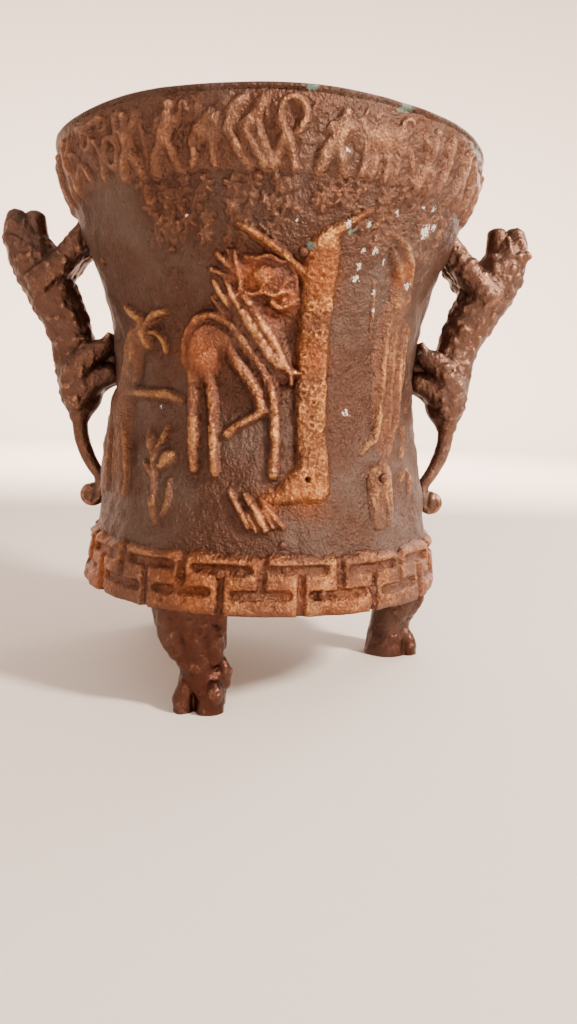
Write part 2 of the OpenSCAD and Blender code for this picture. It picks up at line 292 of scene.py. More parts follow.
class Graph:
    """A material's nodes, added one step at a time in the piece's own space."""

    def __init__(self, tree: bpy.types.NodeTree) -> None:
        """Starts from an empty node tree.

        Args:
            tree: the material's node tree.
        """
        tree.nodes.clear()
        self.tree = tree
        self.place = add_node(tree, "ShaderNodeTexCoord").outputs["Object"]

    def stored(self, name: str) -> Socket:
        """Number that a piece keeps at its points."""
        return add_node(self.tree, "ShaderNodeAttribute", attribute_name=name).outputs["Fac"]

    def noise(self, size_mm: float, detail: float) -> Socket:
        """Soft noise whose lumps measure about size_mm.

        Args:
            size_mm: width of a lump.
            detail: levels of finer lumps.

        Returns:
            The pattern, about 0 to 1.
        """
        node = add_node(self.tree, "ShaderNodeTexNoise", {
            "Vector": self.place, "Scale": per_metre(size_mm), "Detail": detail,
            "Roughness": 0.58})
        return node.outputs["Fac"]

    def cells(self, size_mm: float) -> Socket:
        """Distance to the middle of the nearest of many scattered cells.

        Args:
            size_mm: width of a cell.

        Returns:
            The distance, in cells.
        """
        node = add_node(self.tree, "ShaderNodeTexVoronoi", {
            "Vector": self.place, "Scale": per_metre(size_mm)}, feature="F1")
        return node.outputs["Distance"]

    def math(self, operation: str, *values: Socket | float) -> Socket:
        """One arithmetic step on sockets or constants.

        Args:
            operation: Blender's name of the step.
            *values: its operands in order.

        Returns:
            The result.
        """
        node = add_node(self.tree, "ShaderNodeMath", dict(enumerate(values)),
                        operation=operation)
        return node.outputs["Value"]

    def ramp(self, value: Socket, low: float, high: float) -> Socket:
        """Smooth step from 0 at low to 1 at high.

        Args:
            value: what the step depends on.
            low: value at which it starts.
            high: value at which it ends.

        Returns:
            The step.
        """
        node = add_node(self.tree, "ShaderNodeMapRange", {
            "Value": value, "From Min": low, "From Max": high},
            interpolation_type="SMOOTHSTEP")
        return node.outputs["Result"]

    def blend(self, share: Socket, low: float, high: float) -> Socket:
        """Number that goes from low to high as share goes from 0 to 1.

        Args:
            share: 0 to 1.
            low: result at 0.
            high: result at 1.

        Returns:
            The number.
        """
        node = add_node(self.tree, "ShaderNodeMapRange", {
            "Value": share, "To Min": low, "To Max": high})
        return node.outputs["Result"]

    def mix(self, share: Socket, first: Socket | str, second: str) -> Socket:
        """Colour between a socket or hex value and a hex value.

        Args:
            share: how much of the second colour shows.
            first: a socket or a hex value.
            second: a hex value.

        Returns:
            The colour.
        """
        if isinstance(first, str):
            first = linear(first)
        node = add_node(self.tree, "ShaderNodeMix", {
            "Factor": share, 6: first, 7: linear(second)}, data_type="RGBA")
        return node.outputs[2]

    def bump(self, height: Socket, rise_mm: float, under: Socket | None = None,
             strength: float = 1.0) -> Socket:
        """Bends the surface by a height.

        Args:
            height: a pattern from 0 to 1.
            rise_mm: how far 1 stands over 0.
            under: the bump that this one lies on.
            strength: share of the bend that shows.

        Returns:
            The bent normal.
        """
        inputs = {"Height": height, "Strength": strength, "Distance": rise_mm * MM}
        if under is not None:
            inputs["Normal"] = under
        return add_node(self.tree, "ShaderNodeBump", inputs).outputs["Normal"]


@dataclass(frozen=True)
class CastBrass:
    """Lost-wax cast brass under brown patina, rubbed bright on its high places.

    Brown oxide lies on the skin as cast, which is grainy and pitted. Hands and
    cloths have rubbed ridges through to copper-coloured metal, and the same
    bright colour paints their highlights; the recesses stay near black, as
    patina and painted shade; damp has turned a few hollows green, and there are
    flecks of lime, the smallest of which are painted glints.
    """

    name: str
    # rubbed metal on ridges, which also paints their highlights
    rubbed: str = "#c48d63"
    worn: str = "#95603f"
    patina: str = "#6a4a3c"
    bloom: str = "#5f4c42"
    copper: str = "#91502f"
    # near black in hollows and at the foot of reliefs: dark patina and painted shade
    recess: str = "#3a2016"
    verdigris: str = "#7a9a8e"
    # lime flecks; the smallest of them are painted glints
    lime: str = "#d8cfc8"
    rub_from: float = 0.2
    rub_to: float = 1.0
    bloom_share: float = 0.5
    rough_rubbed: float = 0.22
    rough_patina: float = 0.32
    blotch_mm: float = 36.0
    cloud_mm: float = 8.0
    grain_mm: float = 1.1
    grain_rise_mm: float = 1.0
    lump_mm: float = 5.5
    lump_rise_mm: float = 0.7
    pit_mm: float = 3.6
    pit_depth_mm: float = 0.3

    def material(self) -> bpy.types.Material:
        """Builds the finish as a material.

        Returns:
            The material.
        """
        material = bpy.data.materials.new(self.name)
        material.use_nodes = True
        g = Graph(material.node_tree)
        wear, green, white, copper = map(g.stored, ("wear", "green", "white", "copper"))
        grain, speck = g.noise(self.grain_mm, 3), g.noise(self.grain_mm * 2.4, 3)

        uneven = g.math("MULTIPLY_ADD", grain, 1.5, -0.75)
        cloud = g.math("MULTIPLY_ADD", g.noise(self.cloud_mm, 4), 1.4, -0.7)
        height = g.math("ADD", wear, g.math("ADD", uneven, cloud))
        # rubbed metal on high places, which also paints highlights there
        rub_and_highlight = g.ramp(height, self.rub_from, self.rub_to)
        warm = g.ramp(g.math("MULTIPLY_ADD", copper, 0.7, height),
                      self.rub_from - 0.5, self.rub_to - 0.1)
        bloom = g.math("MULTIPLY", g.ramp(g.noise(self.blotch_mm, 4), 0.4, 0.66),
                       self.bloom_share)
        # hollows turn towards the recess colour: dark patina and painted shade
        deep = g.ramp(g.math("MULTIPLY_ADD", grain, 0.7, wear), 0.2, -0.5)
        damp = g.ramp(g.math("MULTIPLY_ADD", speck, 1.8, green), 1.5, 1.9)
        # lime flecks; the smallest spots paint glints
        flecks_and_glints = g.ramp(g.math("MULTIPLY_ADD", grain, 2.4, white), 1.85, 1.95)

        colour = g.mix(warm, self.patina, self.worn)
        for share, strength, over in (
                (bloom, 1.0, self.bloom), (copper, 0.45, self.copper), (rub_and_highlight, 1.0, self.rubbed),
                (deep, 0.5, self.recess), (damp, 0.75, self.verdigris), (flecks_and_glints, 1.0, self.lime)):
            colour = g.mix(g.math("MULTIPLY", share, strength), colour, over)

        dull = g.math("MAXIMUM", damp, flecks_and_glints)
        rough = g.blend(rub_and_highlight, self.rough_patina, self.rough_rubbed)
        rough = g.math("MULTIPLY_ADD", speck, 0.24, rough)
        rough = g.math("MULTIPLY_ADD", dull, 0.4, rough)
        metal = g.math("MULTIPLY_ADD", dull, -0.9, 1.0)
        metal = g.math("MULTIPLY_ADD", bloom, -0.5, metal)

        normal = g.bump(g.noise(self.lump_mm, 2), self.lump_rise_mm)
        normal = g.bump(g.math("MULTIPLY_ADD", speck, 1.5, grain), self.grain_rise_mm, normal)
        normal = g.bump(g.ramp(g.cells(self.pit_mm), 0.05, 0.34), self.pit_depth_mm, normal,
                        strength=0.7)
        shader = add_node(g.tree, "ShaderNodeBsdfPrincipled", {
            "Base Color": colour, "Metallic": metal, "Roughness": rough, "Normal": normal})
        add_node(g.tree, "ShaderNodeOutputMaterial", {"Surface": shader.outputs["BSDF"]})
        return material


WALL_BRASS = CastBrass("cast_brass_grey_patina", patina="#573e34", worn="#694939",
                       rubbed="#946c58", rub_from=0.4, rub_to=1.2, bloom_share=0.7)
INSIDE_BRASS = CastBrass("cast_brass_unpolished", patina="#453026", bloom="#3d302a",
                         worn="#553a2c", rubbed="#6f4c38", rub_from=0.7, rub_to=1.5,
                         rough_patina=0.62)
BAND_BRASS = CastBrass("cast_brass_rubbed_band", patina="#6e4634", worn="#91593a",
                       rubbed="#c8925f", rub_from=0.2, rub_to=1.1, bloom_share=0.35)
RELIEF_BRASS = CastBrass("cast_brass_rubbed_relief", patina="#64453a", worn="#87533a",
                         rubbed="#d29a66", rub_from=0.25, rub_to=1.1, bloom_share=0.25,
                         grain_rise_mm=0.9)
LEAF_BRASS = CastBrass("cast_brass_leaf_sprays", patina="#64473a", worn="#7b5340",
                       rubbed="#b58765", rub_from=0.25, rub_to=1.0, bloom_share=0.5)
DIM_BRASS = CastBrass("cast_brass_half_rubbed", patina="#68483a", worn="#83583e",
                      rubbed="#b78658", rub_from=0.2, rub_to=1.1, bloom_share=0.4)
BARK_BRASS = CastBrass("cast_brass_bark", patina="#664232", worn="#8f5c39", rubbed="#d79c5f",
                       rub_from=0.25, rub_to=1.2, bloom_share=0.2)
LEOPARD_BRASS = CastBrass("cast_brass_hide", patina="#60463b", worn="#785748",
                          rubbed="#b0836a", rub_from=0.3, rub_to=1.2, bloom_share=0.4,
                          rough_patina=0.3, grain_rise_mm=0.35, lump_rise_mm=0.4)
LEG_BRASS = CastBrass("cast_brass_dark_leg", patina="#4b2e25", worn="#633f32",
                      rubbed="#93705f", rub_from=0.45, rub_to=1.3, bloom_share=0.4,
                      rough_patina=0.27, grain_rise_mm=0.3, lump_rise_mm=0.5)
# the frieze finishes are lighter than the wall's patina: painted light that falls on the band
# under the lip
FRIEZE_BRASS = CastBrass("cast_brass_frieze_figures", patina="#735141", worn="#875f49",
                         rubbed="#bd8c69", rub_from=0.25, rub_to=1.2, bloom_share=0.4)
GROUND_BRASS = CastBrass("cast_brass_frieze_ground", patina="#67493c", worn="#7c5744",
                         rubbed="#b0866a", rub_from=0.25, rub_to=1.2, bloom_share=0.5)


def dress(piece: bpy.types.Object, finish: CastBrass) -> None:
    """Gives a piece one finish all over, made once and shared.

    Args:
        piece: the object.
        finish: its finish.
    """
    material = bpy.data.materials.get(finish.name) or finish.material()
    piece.data.materials.clear()
    piece.data.materials.append(material)


# ------------------------------------------------------------------ the wall's form


@dataclass
class WallForm:
    """Outer surface that everything on the pot's side is laid on."""

    foot_z: float = field(default_factory=lambda: float(box_mm("vessel_wall")[0][2]))
    top_z: float = field(default_factory=lambda: float(box_mm("vessel_wall")[1][2]))
    lip_r: float = field(default_factory=lambda: float(box_mm("vessel_wall")[1][0]))
    base_r: float = 85.0
    waist_r: float = 71.8
    waist_z: float = 140.0
    lip_h: float = 3.2
    frieze_h: float = 24.3
    band_h: float = 26.0
    thickness: float = 3.5

    def __post_init__(self) -> None:
        """Works out the smooth side from a few radii."""
        knots = [
            (self.foot_z - 20, self.base_r + 1.5), (self.foot_z, self.base_r),
            (self.foot_z + 27, self.base_r - 3.5), (self.waist_z - 39, self.waist_r + 5.4),
            (self.waist_z - 14, self.waist_r + 0.9), (self.waist_z + 12, self.waist_r + 0.5),
            (self.waist_z + 40, self.waist_r + 6.1), (self.waist_z + 64, self.waist_r + 15),
            (self.top_z - 24, self.lip_r - 7.5), (self.top_z, self.lip_r - 1.6),
            (self.top_z + 20, self.lip_r + 1)]
        self.side = curve_through(knots, 12)
        self.frieze_z = self.top_z - self.lip_h - self.frieze_h
        self.rough = self.cast_skin()

    def cast_skin(self) -> Array:
        """Seeded table of the skin's large and small lumps, round the pot and up it.

        Returns:
            Heights in millimetres, one row for each half degree.
        """
        rounds, rows = SKIN_GRID
        noise = np.fft.fft2(np.random.default_rng(7).normal(0, 1, SKIN_GRID))
        wave = np.fft.fftfreq(rounds)[:, None] ** 2 + np.fft.fftfreq(rows)[None, :] ** 2
        wave = wave * (2 * math.pi / SKIN_STEP) ** 2
        return sum(rise * np.fft.ifft2(noise * np.exp(-wave * size ** 2 / 2)).real
                   for size, rise in ((5.0, 4.6), (1.6, 1.5)))

    def skin(self, azimuth: Array, z: Array) -> Array:
        """Seeded lumps and dents of the cast skin, up to half a millimetre.

        Args:
            azimuth: degrees, any shape.
            z: heights, the same shape.

        Returns:
            How far the skin stands over the smooth side.
        """
        rounds, rows = SKIN_GRID
        u = np.mod(azimuth, 360) * rounds / 360
        v = np.clip((z - self.foot_z + 12) / SKIN_STEP, 0, rows - 1.001)
        i, k = np.floor(u).astype(int) % rounds, np.floor(v).astype(int)
        j, fu, fv = (i + 1) % rounds, u - np.floor(u), v - k
        level = ((self.rough[i, k] * (1 - fu) + self.rough[j, k] * fu) * (1 - fv)
                 + (self.rough[i, k + 1] * (1 - fu) + self.rough[j, k + 1] * fu) * fv)
        return level * np.clip((self.top_z - z) / 8, 0.25, 1)

    def radius(self, azimuth: Array, z: Array) -> Array:
        """Outside radius, with the slight waves of a wax model made by hand.

        Args:
            azimuth: degrees, any shape.
            z: heights, the same shape.

        Returns:
            Radii in millimetres.
        """
        turn = np.radians(azimuth)
        wave = (0.35 * np.sin(2 * turn + 0.6) * np.sin(z / 31)
                + 0.22 * np.sin(5 * turn + z / 17 + 1.1)
                + 0.1 * np.sin(11 * turn - z / 9 + 2))
        return np.interp(z, self.side[:, 0], self.side[:, 1]) + wave + self.skin(azimuth, z)


class Crest(Enum):
    """Cross-section of a raised stroke."""

    ROUND = 2.0
    BLUNT = 5.0


class Half(Enum):
    """Half of the pot that a relief is laid on, by the degrees it is turned."""

    FRONT = 0
    REAR = 180


class Mark(Enum):
    """What age and handling have left at one place of the skin; BRIGHT marks are painted
    highlights instead.
    """

    GREEN = "green"
    WHITE = "white"
    COPPER = "copper"
    BRIGHT = "bright"


class ReliefMap:
    """Heights over the wall on half the pot, drawn with strokes, in millimetres.

    The other half of the pot repeats it, so it wraps at azimuth 90.
    """

    az_step = 0.3125
    z_step = 0.47
    below = -1.2

    def __init__(self, wall: WallForm, widen: float = 1.15) -> None:
        """Lays out an empty map over the wall.

        Args:
            wall: the wall's form.
            widen: how much broader strokes come out than they are drawn.
        """
        self.wall = wall
        self.az = np.arange(-90, 90, self.az_step)
        self.z = np.arange(wall.foot_z, wall.top_z + self.z_step, self.z_step)
        self.height = np.full((len(self.az), len(self.z)), self.below)
        self.widen = widen

    def per_degree(self, z: float) -> float:
        """Millimetres round the wall to a degree, at a height."""
        return math.radians(float(np.interp(z, self.wall.side[:, 0], self.wall.side[:, 1])))

    def window(self, a0: float, a1: float, z0: float, z1: float) -> tuple[slice, slice]:
        """Index ranges of the map that cover an azimuth and height range.

        Args:
            a0: lowest azimuth.
            a1: highest azimuth.
            z0: lowest height.
            z1: highest height.

        Returns:
            The two slices of the map.
        """
        i0, i1 = np.searchsorted(self.az, (a0, a1))
        k0, k1 = np.searchsorted(self.z, (z0, z1))
        return slice(i0, i1), slice(k0, k1)

    def near(self, a: Knot, b: Knot, pad: float) -> Iterable[tuple]:
        """Grid windows about the line from a to b, with distances along and off it.

        Args:
            a: azimuth and height of the line's start.
            b: azimuth and height of its end.
            pad: how far from the line the windows reach, in millimetres.

        Yields:
            A window, the share along the line, and the distance from it.
        """
        scale = self.per_degree((a[1] + b[1]) / 2)
        for shift in (-180, 0, 180):
            a_az, b_az = a[0] + shift, b[0] + shift
            win = self.window(min(a_az, b_az) - pad / scale, max(a_az, b_az) + pad / scale,
                              min(a[1], b[1]) - pad, max(a[1], b[1]) + pad)
            if win[0].start >= win[0].stop or win[1].start >= win[1].stop:
                continue
            s = (self.az[win[0]][:, None] - a_az) * scale
            v = self.z[win[1]][None, :] - a[1]
            ds, dv = (b_az - a_az) * scale, b[1] - a[1]
            t = np.clip((s * ds + v * dv) / max(ds * ds + dv * dv, 1e-9), 0, 1)
            yield win, t, np.hypot(s - t * ds, v - t * dv)

    def around(self, azimuth: float, z: float, reach: float) -> Iterable[tuple]:
        """Grid windows about one place, with the distance from it."""
        for win, _, off in self.near((azimuth, z), (azimuth, z), reach):
            yield win, off

    def stroke(self, *knots: Knot, crest: Crest = Crest.ROUND, pieces: int = 5) -> None:
        """Raises a limb, branch or ridge.

        Args:
            *knots: azimuth, height on the wall, width and rise of each point.
            crest: its cross-section.
            pieces: straight pieces between two knots.
        """
        path = curve_through(knots, pieces)
        for a, b in zip(path, path[1:]):
            for win, t, off in self.near(a, b, max(a[2], b[2]) * 0.8 + 1):
                half = (a[2] + (b[2] - a[2]) * t) / 2
                rise = a[3] + (b[3] - a[3]) * t
                q = off / (half * self.widen)
                inside = np.maximum(1 - q ** crest.value, 0)
                level = np.where(q < 1, rise * inside, -(q - 1) * half * 0.7)
                self.height[win] = np.maximum(self.height[win], np.maximum(level, self.below))

    def crease(self, *knots: Knot) -> None:
        """Changes what is already raised along a line; a rise below 0 cuts it.

        Args:
            *knots: azimuth, height on the wall, width and change of each point.
        """
        change = np.zeros_like(self.height)
        path = curve_through(knots, 5)
        for a, b in zip(path, path[1:]):
            for win, t, off in self.near(a, b, max(a[2], b[2])):
                half = (a[2] + (b[2] - a[2]) * t) / 2
                depth = (a[3] + (b[3] - a[3]) * t) * np.maximum(1 - (off / half) ** 2, 0)
                change[win] = np.where(np.abs(depth) > np.abs(change[win]), depth, change[win])
        raised = self.height > 0
        self.height[raised] = np.maximum(self.height + change, 0.1)[raised]

    def dome(self, azimuth: float, z: float, wide: float, tall: float, rise: float,
             power: float = 2.0, lean: float = 0.0) -> None:
        """Raises a rounded lump.

        Args:
            azimuth: its middle.
            z: its middle's height.
            wide: width in millimetres.
            tall: height in millimetres.
            rise: how far it stands out.
            power: 2 for a dome, more for a flatter top.
            lean: degrees by which its top leans to the right.
        """
        reach = max(wide, tall)
        scale = self.per_degree(z)
        for win, _ in self.around(azimuth, z, reach):
            shift = 180 * round((self.az[win[0]].mean() - azimuth) / 180)
            s = (self.az[win[0]][:, None] - azimuth - shift) * scale
            v = self.z[win[1]][None, :] - z
            cos, sin = math.cos(math.radians(lean)), math.sin(math.radians(lean))
            q = np.hypot((s * cos - v * sin) / (wide / 2), (s * sin + v * cos) / (tall / 2))
            level = np.where(q < 1, rise * np.maximum(1 - q ** power, 0), -(q - 1) * reach / 3)
            self.height[win] = np.maximum(self.height[win], np.maximum(level, self.below))

    def ring(self, azimuth: float, z: float, across: float, width: float, rise: float,
             tall: float = 1.0) -> None:
        """Raises a round or oval loop of one width.

        Args:
            azimuth: its middle.
            z: its middle's height.
            across: width of its middle line.
            width: width of the ridge.
            rise: how far it stands out.
            tall: its height against its width.
        """
        scale = self.per_degree(z)
        turns = np.radians(np.arange(0, 361, 30))
        self.stroke(*[(azimuth + across / 2 * math.sin(t) / scale,
                       z + across / 2 * tall * math.cos(t), width, rise) for t in turns], pieces=2)

    def stipple(self, seed: int, count: int, area: tuple[float, float, float, float],
                size: float, rise: float) -> None:
        """Adds small lumps and dents to what is raised, at seeded places.

        Args:
            seed: start of the random places.
            count: number of marks.
            area: lowest azimuth, highest azimuth, lowest height, highest height.
            size: width of a mark.
            rise: how far the marks rise or sink.
        """
        rng = np.random.default_rng(seed)
        raised = self.height > 0.3
        change = np.zeros_like(self.height)
        for a, z, sign in zip(rng.uniform(area[0], area[1], count),
                              rng.uniform(area[2], area[3], count), rng.choice([-1, 1], count)):
            for win, off in self.around(a, z, size):
                change[win] += sign * rise * np.exp(-(off / size * 2.4) ** 2)
        self.height[raised] += change[raised]

    def roughen(self, seed: int, above: float, *scales: tuple[float, float]) -> None:
        """Adds seeded unevenness to what stands higher than a level.

        Args:
            seed: start of the random heights.
            above: the level in millimetres.
            *scales: rise and width of each size of lump.
        """
        noise = np.random.default_rng(seed).normal(0, 1, self.height.shape)
        change = sum(rise * blurred(noise, width, self) for rise, width in scales)
        self.height += np.where(self.height > above, change, 0)

    def lift(self, share: float) -> None:
        """Scales everything that stands over the wall."""
        self.height = np.where(self.height > 0, self.height * share, self.height)

    def soften(self, sigma: float) -> None:
        """Rounds every edge by a blur of sigma millimetres."""
        soft = blurred(np.maximum(self.height, -0.5), sigma, self)
        self.height = np.where(soft < -0.46, self.below, soft)

    def sample(self, grid: Array, azimuth: Array, z: Array) -> Array:
        """Reads a grid of this map's shape at any places, between its points.

        Args:
            grid: values of the map's shape.
            azimuth: degrees, any shape.
            z: heights, the same shape.

        Returns:
            A value for each place.
        """
        u = (np.mod(azimuth + 90, 180)) / self.az_step
        v = np.clip((z - self.z[0]) / self.z_step, 0, len(self.z) - 1.001)
        i, k = np.floor(u).astype(int), np.floor(v).astype(int)
        fu, fv = u - i, v - k
        i, j = np.mod(i, len(self.az)), np.mod(i + 1, len(self.az))
        return ((grid[i, k] * (1 - fu) + grid[j, k] * fu) * (1 - fv)
                + (grid[i, k + 1] * (1 - fu) + grid[j, k + 1] * fu) * fv)


def blurred(grid: Array, sigma: float, relief: ReliefMap) -> Array:
    """A map's grid after a soft blur.

    Args:
        grid: values on the map's grid.
        sigma: blur in millimetres.
        relief: the map that the grid belongs to.

    Returns:
        The blurred grid.
    """
    arc = math.radians(relief.az_step) * relief.wall.waist_r * 1.1
    tall = np.concatenate([grid, grid[:, ::-1]], axis=1)
    wave_a = np.fft.fftfreq(tall.shape[0])[:, None] * 2 * math.pi * sigma / arc
    wave_z = np.fft.fftfreq(tall.shape[1])[None, :] * 2 * math.pi * sigma / relief.z_step
    soft = np.fft.ifft2(np.fft.fft2(tall) * np.exp(-(wave_a ** 2 + wave_z ** 2) / 2)).real
    return soft[:, :grid.shape[1]]


# ------------------------------------------------------------------ the wall's pieces


# azimuth, height and size of each mark on the front half; the rear half has the same
SPOTS = {
    Mark.GREEN: ((11.4, 191, 2.6), (-3.5, 200.5, 1.6), (-30, 177.5, 1.2), (30, 242, 5),
        (8, 243, 4), (63, 240, 4), (22, 197.5, 2.4)),
    # WHITE: lime flecks; the smallest, such as (-21.5, 201) and (7, 200), are painted glints
    Mark.WHITE: ((48.4, 203.4, 3.6), (48.6, 212, 2), (52.4, 205.5, 2), (35, 207, 1.6),
        (26.8, 186, 1.6), (26.7, 181.4, 2), (27.4, 192, 1.5), (31, 192, 1.8), (35.5, 189, 1.4),
        (27, 200.5, 1.8), (47, 181.5, 2), (28, 127.5, 2.2), (20.4, 199.6, 2), (-21.5, 201, 0.8),
        (7, 200, 0.8), (17.5, 224, 1.4), (44.5, 211, 1.3), (-38, 128, 1.4), (-20.6, 214.6, 0.9),
        (34.4, 177, 1.6), (35.6, 170, 1.5)),
    Mark.COPPER: ((-20.4, 150, 10), (-4, 179, 8), (4, 169, 7), (13, 93, 8), (15, 180, 9),
        (44, 186, 5), (2, 91, 5), (15, 150, 7), (-18, 54, 9), (-62, 54, 12), (8, 55, 8)),
    # painted highlights on trunks, neck, legs and band, where the light falls brightest
    Mark.BRIGHT: ((14, 98, 10), (17.5, 112, 9), (17.5, 130, 9), (15.5, 193, 5), (17, 172, 6),
        (48, 150, 8), (43.5, 96, 7), (43, 122, 5), (-4, 159, 7), (4, 150, 7), (-23.5, 118, 6),
        (-16.5, 116, 6), (-31.5, 107, 5), (-1, 84, 6), (-12, 172, 6), (17, 232, 8),
        (24, 229, 8), (12, 52, 8), (20, 58, 7), (-5, 52, 6), (28, 52, 7)),
}


@dataclass
class WallPieces:
    """The vessel's own castings, and everything that is laid on its wall."""

    wall: WallForm
    whole: ReliefMap | None = None
    hollow: Array | None = None
    pin_radius: float = 2.0
    seat: float = -0.6

    def cavity(self, azimuth: Array, z: Array) -> Array:
        """How far the surface stands over its surroundings, about -1 to 1."""
        return self.whole.sample(self.hollow, azimuth, z)

    def weigh(self) -> None:
        """Works out ridges and hollows of all the reliefs together."""
        level = np.maximum(self.whole.height, 0)
        near = (level - blurred(level, 1.0, self.whole)) / 1.1
        wide = (level - blurred(level, 4.5, self.whole)) / 3.4
        # ridges become wear and painted highlight, hollows dark patina and painted shade, darkest
        # at the foot of the reliefs
        hollow = np.clip(near * 0.5 + wide * 0.95, -0.6, 0.95)
        in_band = self.whole.z < self.wall.foot_z + self.wall.band_h + 1
        # in the key band the grooves get more painted shade and the straps less highlight
        keys = np.minimum(hollow, 0) * 1.4 + np.maximum(hollow, 0) * 0.35 + 0.15
        self.hollow = np.where(in_band[None, :], keys, hollow)

    def patina_on(self, piece: bpy.types.Object) -> None:
        """Stores wear, painted shade in hollows, painted highlights on ridges and at
        the painted highlight spots, and the marks of age, on a piece that lies on the wall.

        Args:
            piece: the piece.
        """
        p = points_of(piece)
        azimuth = azimuth_of(p)
        radius = np.hypot(p[:, 0], p[:, 1])
        marks = {mark: np.zeros(len(p)) for mark in Mark}
        for mark, spots in SPOTS.items():
            for (a, z, size), half in product(spots, Half):
                side = np.mod(azimuth - a - half.value + 180, 360) - 180
                off = np.hypot(np.radians(side) * radius, p[:, 2] - z)
                marks[mark] = np.maximum(marks[mark], np.exp(-(off / size) ** 2))
        # stored value: wear with painted highlight above 0, patina with painted shade below 0; the
        # painted highlight spots add to it
        store(piece, "wear", self.cavity(azimuth, p[:, 2]) + 0.3 * marks.pop(Mark.BRIGHT))
        for mark, values in marks.items():
            store(piece, mark.value, values)

    def section(self) -> Array:
        """Closed outline of the wall, radius offset from the side and height.

        Returns:
            One row for each point of the outline, outside first.
        """
        w = self.wall
        outer_z = np.linspace(w.foot_z, w.top_z - w.lip_h, 150)
        outer = [(0.0, z) for z in outer_z]
        top = w.top_z
        lip = [(0.5, top - w.lip_h + 0.5), (1.0, top - w.lip_h + 1.4), (1.2, top - 1.6),
               (1.0, top - 0.8), (0.3, top - 0.25), (-0.7, top), (-2.2, top - 0.05),
               (-3.4, top - 0.5), (-4.0, top - 1.6), (-w.thickness - 0.2, top - 4)]
        inner_z = np.linspace(w.top_z - 9, w.foot_z + 0.5, 70)
        inner = [(-w.thickness, z) for z in inner_z]
        return np.array(outer + lip + inner + [(-w.thickness * 0.5, w.foot_z + 0.1)])

    def build_wall(self) -> bpy.types.Object:
        """Spins the wall's closed section round the axis as one shell.

        Returns:
            The piece.
        """
        section = self.section()
        rounds = 360
        bpy.ops.mesh.primitive_grid_add(x_subdivisions=rounds, y_subdivisions=len(section), size=1)
        piece = bpy.context.active_object
        piece.name = "cast_wall"
        place = points_of(piece) * MM + 0.5
        azimuth = place[:, 0] * 360 - 180
        step = np.mod(np.round(place[:, 1] * len(section)).astype(int), len(section))
        z = section[step, 1]
        z = z + (z > self.wall.top_z - 7) * (0.3 * np.sin(np.radians(3 * azimuth) + 1)
                                             + 0.2 * np.sin(np.radians(8 * azimuth)) - 0.5)
        radius = self.wall.radius(azimuth, z) + section[step, 0]
        place_points(piece, polar_mm(azimuth, radius, z))
        tidy_shell(piece, merge_mm=0.01)
        self.patina_on(piece)
        p = points_of(piece)
        inside = np.hypot(p[:, 0], p[:, 1]) < self.wall.radius(azimuth_of(p), p[:, 2]) - 1.5
        self.shade_inside(piece, inside)
        dress(piece, WALL_BRASS)
        fixed_to_pot(piece, "patinated_wall", "vessel_wall")
        return piece

    def shade_inside(self, piece: bpy.types.Object, inside: Array) -> None:
        """Darkens the wear of the points on the inner side.

        Args:
            piece: the wall.
            inside: whether each point is on the inner side.
        """
        wear = np.empty(len(inside), dtype=np.float32)
        piece.data.attributes["wear"].data.foreach_get("value", wear)
        store(piece, "wear", np.where(inside, -0.35, wear))

    def lay_on_wall(self, name: str, relief: ReliefMap, half: Half) -> bpy.types.Object:
        """Makes a relief as a closed shell that is let into the wall.

        Args:
            name: the piece's name.
            relief: its heights.
            half: the half of the pot that it lies on.

        Returns:
            The piece.
        """
        turn = half.value
        raised = relief.height > -0.35
        along = np.flatnonzero(raised.any(axis=1))
        up = np.flatnonzero(raised.any(axis=0))
        a0, a1 = relief.az[along[0]], relief.az[along[-1]]
        if along[0] == 0:
            a1 = 90.0
        z0, z1 = relief.z[up[0]], relief.z[up[-1]]
        bpy.ops.mesh.primitive_grid_add(x_subdivisions=int(round((a1 - a0) / relief.az_step)),
                                        y_subdivisions=len(up) - 1, size=1)
        piece = bpy.context.active_object
        piece.name = name
        unit = points_of(piece) * MM + 0.5
        azimuth, z = a0 + (a1 - a0) * unit[:, 0], z0 + (z1 - z0) * unit[:, 1]
        rise = relief.sample(relief.height, azimuth, z)
        base = self.wall.radius(azimuth + turn, z)
        place_points(piece, polar_mm(azimuth + turn, base + self.seat, z))
        make_active(piece)
        select_points(piece, rise < -0.3)
        bpy.ops.mesh.delete(type="VERT")
        bpy.ops.mesh.select_all(action="SELECT")
        bpy.ops.mesh.extrude_region_move()
        bpy.ops.object.mode_set(mode="OBJECT")
        front = selected_points(piece)
        p = points_of(piece)
        azimuth = azimuth_of(p)
        rise = relief.sample(relief.height, azimuth - turn, p[:, 2])
        p[front] = polar_mm(azimuth, self.wall.radius(azimuth, p[:, 2]) + rise, p[:, 2])[front]
        place_points(piece, p)
        tidy_shell(piece)
        bpy.ops.object.mode_set(mode="EDIT")
        bpy.ops.mesh.select_all(action="DESELECT")
        bpy.ops.mesh.edges_select_sharp(sharpness=math.radians(80))
        bpy.ops.mesh.mark_sharp()
        bpy.ops.object.mode_set(mode="OBJECT")
        return piece

    def lay_round(self, name: str, relief: ReliefMap, slot: str, finish: CastBrass,
                  node: str) -> None:
        """Lays a relief on both halves of the pot.

        Args:
            name: the pieces' name, with {} for the half.
            relief: their heights.
            slot: the record's material slot.
            finish: their finish.
            node: the CAD node that each stands for, with {} if the halves differ.
        """
        for half in Half:
            word = half.name.lower()
            piece = self.lay_on_wall(name.format(word), relief, half)
            self.patina_on(piece)
            dress(piece, finish)
            fixed_to_pot(piece, slot, node.format(word))

